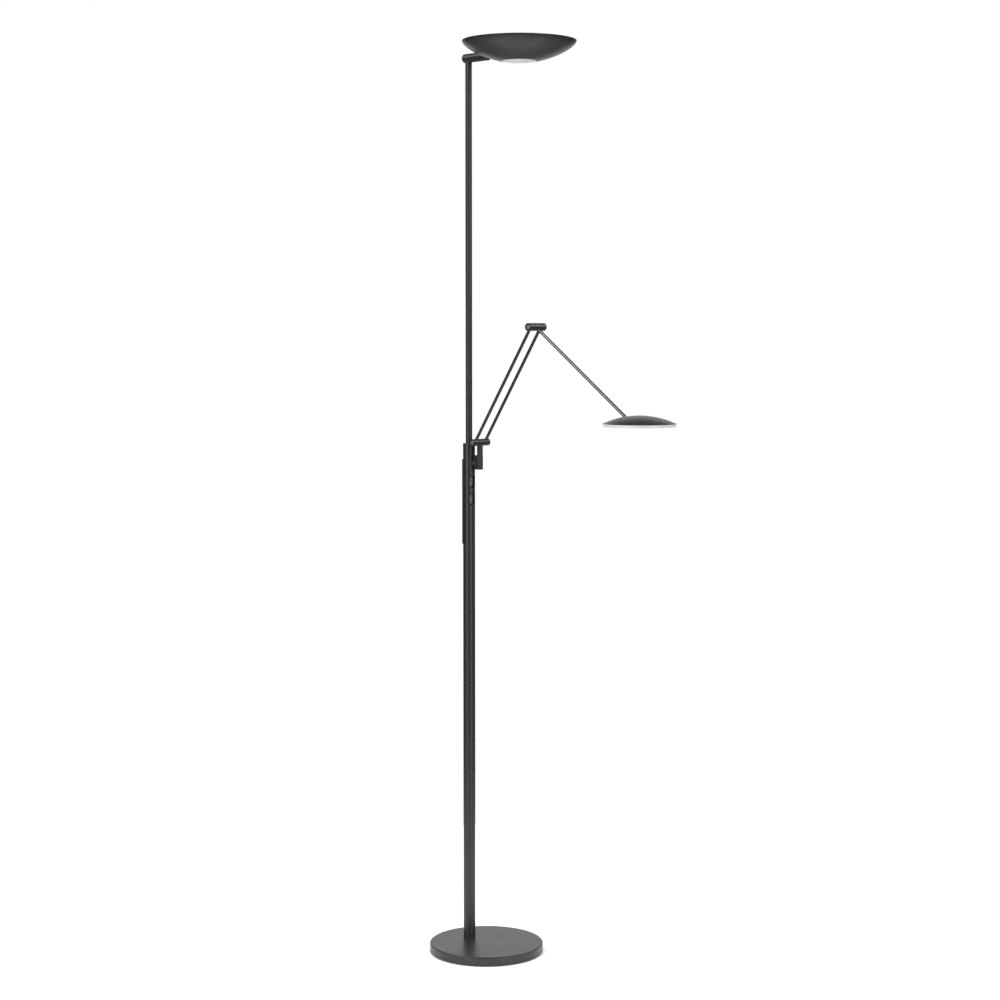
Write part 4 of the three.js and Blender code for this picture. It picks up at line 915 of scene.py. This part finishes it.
cut(bar, groove(1), groove(-1),
    drill(pole_radius + 0.2 * mm, bar_low.z - 1 * mm, bar_low.z + socket_depth, (pole_axis.x, 0, 0),
          facets=72),
    drill(spigot_hole, bar_low.z, bar_low.z + spigot_depth, (pole_axis.x, 0, 0), facets=48),
    drill(screw_hole, bar_axis, bar_high.z + 1 * mm, (middle("bracket_screw").x, 0, 0), facets=48))
settle(bar, lacquer, "uplight", "graphite_lacquer", "bracket_bar")

# ------------------------------------------------------------------ dish
# A spun aluminium bowl, 221 mm across, lacquered graphite. Its wall follows a superellipse: steep at the
# rim, running out nearly straight to a round opening at the bottom that holds the small opal lens.

dish_low, dish_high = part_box("dish_shell")
dish_middle = (dish_low + dish_high) / 2
dish_radius = (dish_high.y - dish_low.y) / 2
lens_radius = 33.5 * mm
dish_shell = 1.5 * mm
dish_depth = 42.6 * mm
curve_across, curve_down = 1.64, 1.54

bowl, sizes = node_tree("superellipse_bowl", {
    "Radius": ("NodeSocketFloat", 0.1), "Depth": ("NodeSocketFloat", 0.04),
    "Opening": ("NodeSocketFloat", 0.03), "Power across": ("NodeSocketFloat", 2.0),
    "Power down": ("NodeSocketFloat", 2.0)})
sheet = add(bowl, "GeometryNodeMeshGrid",
            {"Size X": 1.0, "Size Y": 1.0, "Vertices X": wide_facets + 1, "Vertices Y": 49})
at = add(bowl, "GeometryNodeInputPosition")
at_parts = add(bowl, "ShaderNodeSeparateXYZ", {}, {0: at.outputs[0]})
# Each row: a result, its operation, and the two values it works on.
steps_of_wall = {}
for result, operation, first, second in (
        ("around", "ADD", at_parts.outputs["X"], 0.5),
        ("turn", "MULTIPLY", "around", math.tau),
        ("share", "DIVIDE", sizes.outputs["Opening"], sizes.outputs["Radius"]),
        ("half power", "MULTIPLY", sizes.outputs["Power across"], 0.5),
        ("lowest", "POWER", "share", "half power"),
        ("last", "ARCCOSINE", "lowest", 0.0),
        ("down", "ADD", at_parts.outputs["Y"], 0.5),
        ("wall", "MULTIPLY", "down", "last"),
        ("cosine", "COSINE", "wall", 0.0),
        ("sine", "SINE", "wall", 0.0),
        ("2 over across", "DIVIDE", 2.0, sizes.outputs["Power across"]),
        ("2 over down", "DIVIDE", 2.0, sizes.outputs["Power down"]),
        ("reach share", "POWER", "cosine", "2 over across"),
        ("drop share", "POWER", "sine", "2 over down"),
        ("reach", "MULTIPLY", sizes.outputs["Radius"], "reach share"),
        ("drop", "MULTIPLY", sizes.outputs["Depth"], "drop share"),
        ("turn cosine", "COSINE", "turn", 0.0),
        ("turn sine", "SINE", "turn", 0.0),
        ("x", "MULTIPLY", "reach", "turn cosine"),
        ("y", "MULTIPLY", "reach", "turn sine"),
        ("z", "MULTIPLY", "drop", -1.0)):
    values = [steps_of_wall.get(v, v) if isinstance(v, str) else v for v in (first, second)]
    numbers = {n: v for n, v in enumerate(values) if isinstance(v, float)}
    sockets = {n: v for n, v in enumerate(values) if not isinstance(v, float)}
    worked_out = add(bowl, "ShaderNodeMath", {"operation": operation, **numbers}, sockets)
    steps_of_wall[result] = worked_out.outputs[0]
wall_point = add(bowl, "ShaderNodeCombineXYZ", {}, {
    "X": steps_of_wall["x"], "Y": steps_of_wall["y"], "Z": steps_of_wall["z"]})
bent = add(bowl, "GeometryNodeSetPosition", {},
           {"Geometry": sheet.outputs["Mesh"], "Position": wall_point.outputs[0]})
seam = add(bowl, "GeometryNodeMergeByDistance", {"Distance": 0.01 * mm}, {"Geometry": bent.outputs[0]})
real_bowl = add(bowl, "GeometryNodeRealizeInstances", {}, {"Geometry": seam.outputs[0]})
lacquered_bowl = add(bowl, "GeometryNodeSetMaterial", {"Material": lacquer},
                     {"Geometry": real_bowl.outputs[0]})
add(bowl, "NodeGroupOutput", {}, {0: lacquered_bowl.outputs[0]})

dish = grown("dish_bowl_spun", [(0, 0, 0)], bowl, {
    "Radius": dish_radius, "Depth": dish_depth, "Opening": lens_radius + fit,
    "Power across": curve_across, "Power down": curve_down},
    Matrix.Translation((dish_middle.x, 0, dish_high.z)))
# The sheet's thickness goes inwards, so its faces have to look outwards first.
wall = bmesh.new()
wall.from_mesh(dish.data)
bmesh.ops.recalc_face_normals(wall, faces=wall.faces)
lowest = min(wall.faces, key=lambda f: f.calc_center_median().z)
if lowest.normal.z > 0:
    bmesh.ops.reverse_faces(wall, faces=wall.faces)
wall.to_mesh(dish.data)
wall.free()
thickness = dish.modifiers.new("sheet", "SOLIDIFY")
thickness.thickness, thickness.offset, thickness.use_even_offset = dish_shell, -1, True
evaluated(dish)
# The wall leans outwards at the rim, so its inner face would otherwise rise past the dish's top.
for point in dish.data.vertices:
    point.co.z = min(point.co.z, dish_high.z)
cut(dish, drill(bar_radius + 0.3 * mm, 30 * mm, bar_high.x - pole_axis.x + 1 * mm,
                (pole_axis.x, 0, bar_axis), (1, 0, 0), 96))
settle(dish, lacquer, "uplight", "graphite_shade", "dish_shell")

lid_low, lid_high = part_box("top_diffuser")
lid_radius = (lid_high.y - lid_low.y) / 2
lid = turned("top_diffuser_opal", eased([
    (0, lid_low.z, 0), (lid_radius, lid_low.z, 0.5 * mm), (lid_radius, lid_high.z, 0.7 * mm),
    (0, lid_high.z, 0)]), wide_facets, Matrix.Translation((dish_middle.x, 0, 0)))
settle(lid, opal, "uplight", "opal_acrylic", "top_diffuser")

lens_low, lens_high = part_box("bottom_lens")
flange_radius = (lens_high.y - lens_low.y) / 2
lens_bulge, lens_wall, face_steps = 0.9 * mm, 2 * mm, 24
lens_inner = lens_radius - fit - lens_wall
flange_low = lens_high.z - lens_wall
lens_floor = lens_low.z + lens_bulge + lens_wall
lens_face = [((lens_radius - fit) * k / face_steps, lens_low.z + lens_bulge * (k / face_steps) ** 2)
             for k in range(face_steps + 1)]
lens_outline = lens_face + [
    (lens_radius - fit, flange_low), (flange_radius, flange_low), (flange_radius, lens_high.z),
    (lens_inner, lens_high.z), (lens_inner, lens_floor), (0, lens_floor)]
settle(turned("bottom_lens_opal", lens_outline, wide_facets, Matrix.Translation((dish_middle.x, 0, 0))),
       opal, "uplight", "opal_acrylic", "bottom_lens")
coat(rolled, "dish_plate", "lower_light_carrier")
coat(white_resist, "dish_led_board", "lower_led_board")
coat(zinc, "bracket_screw")
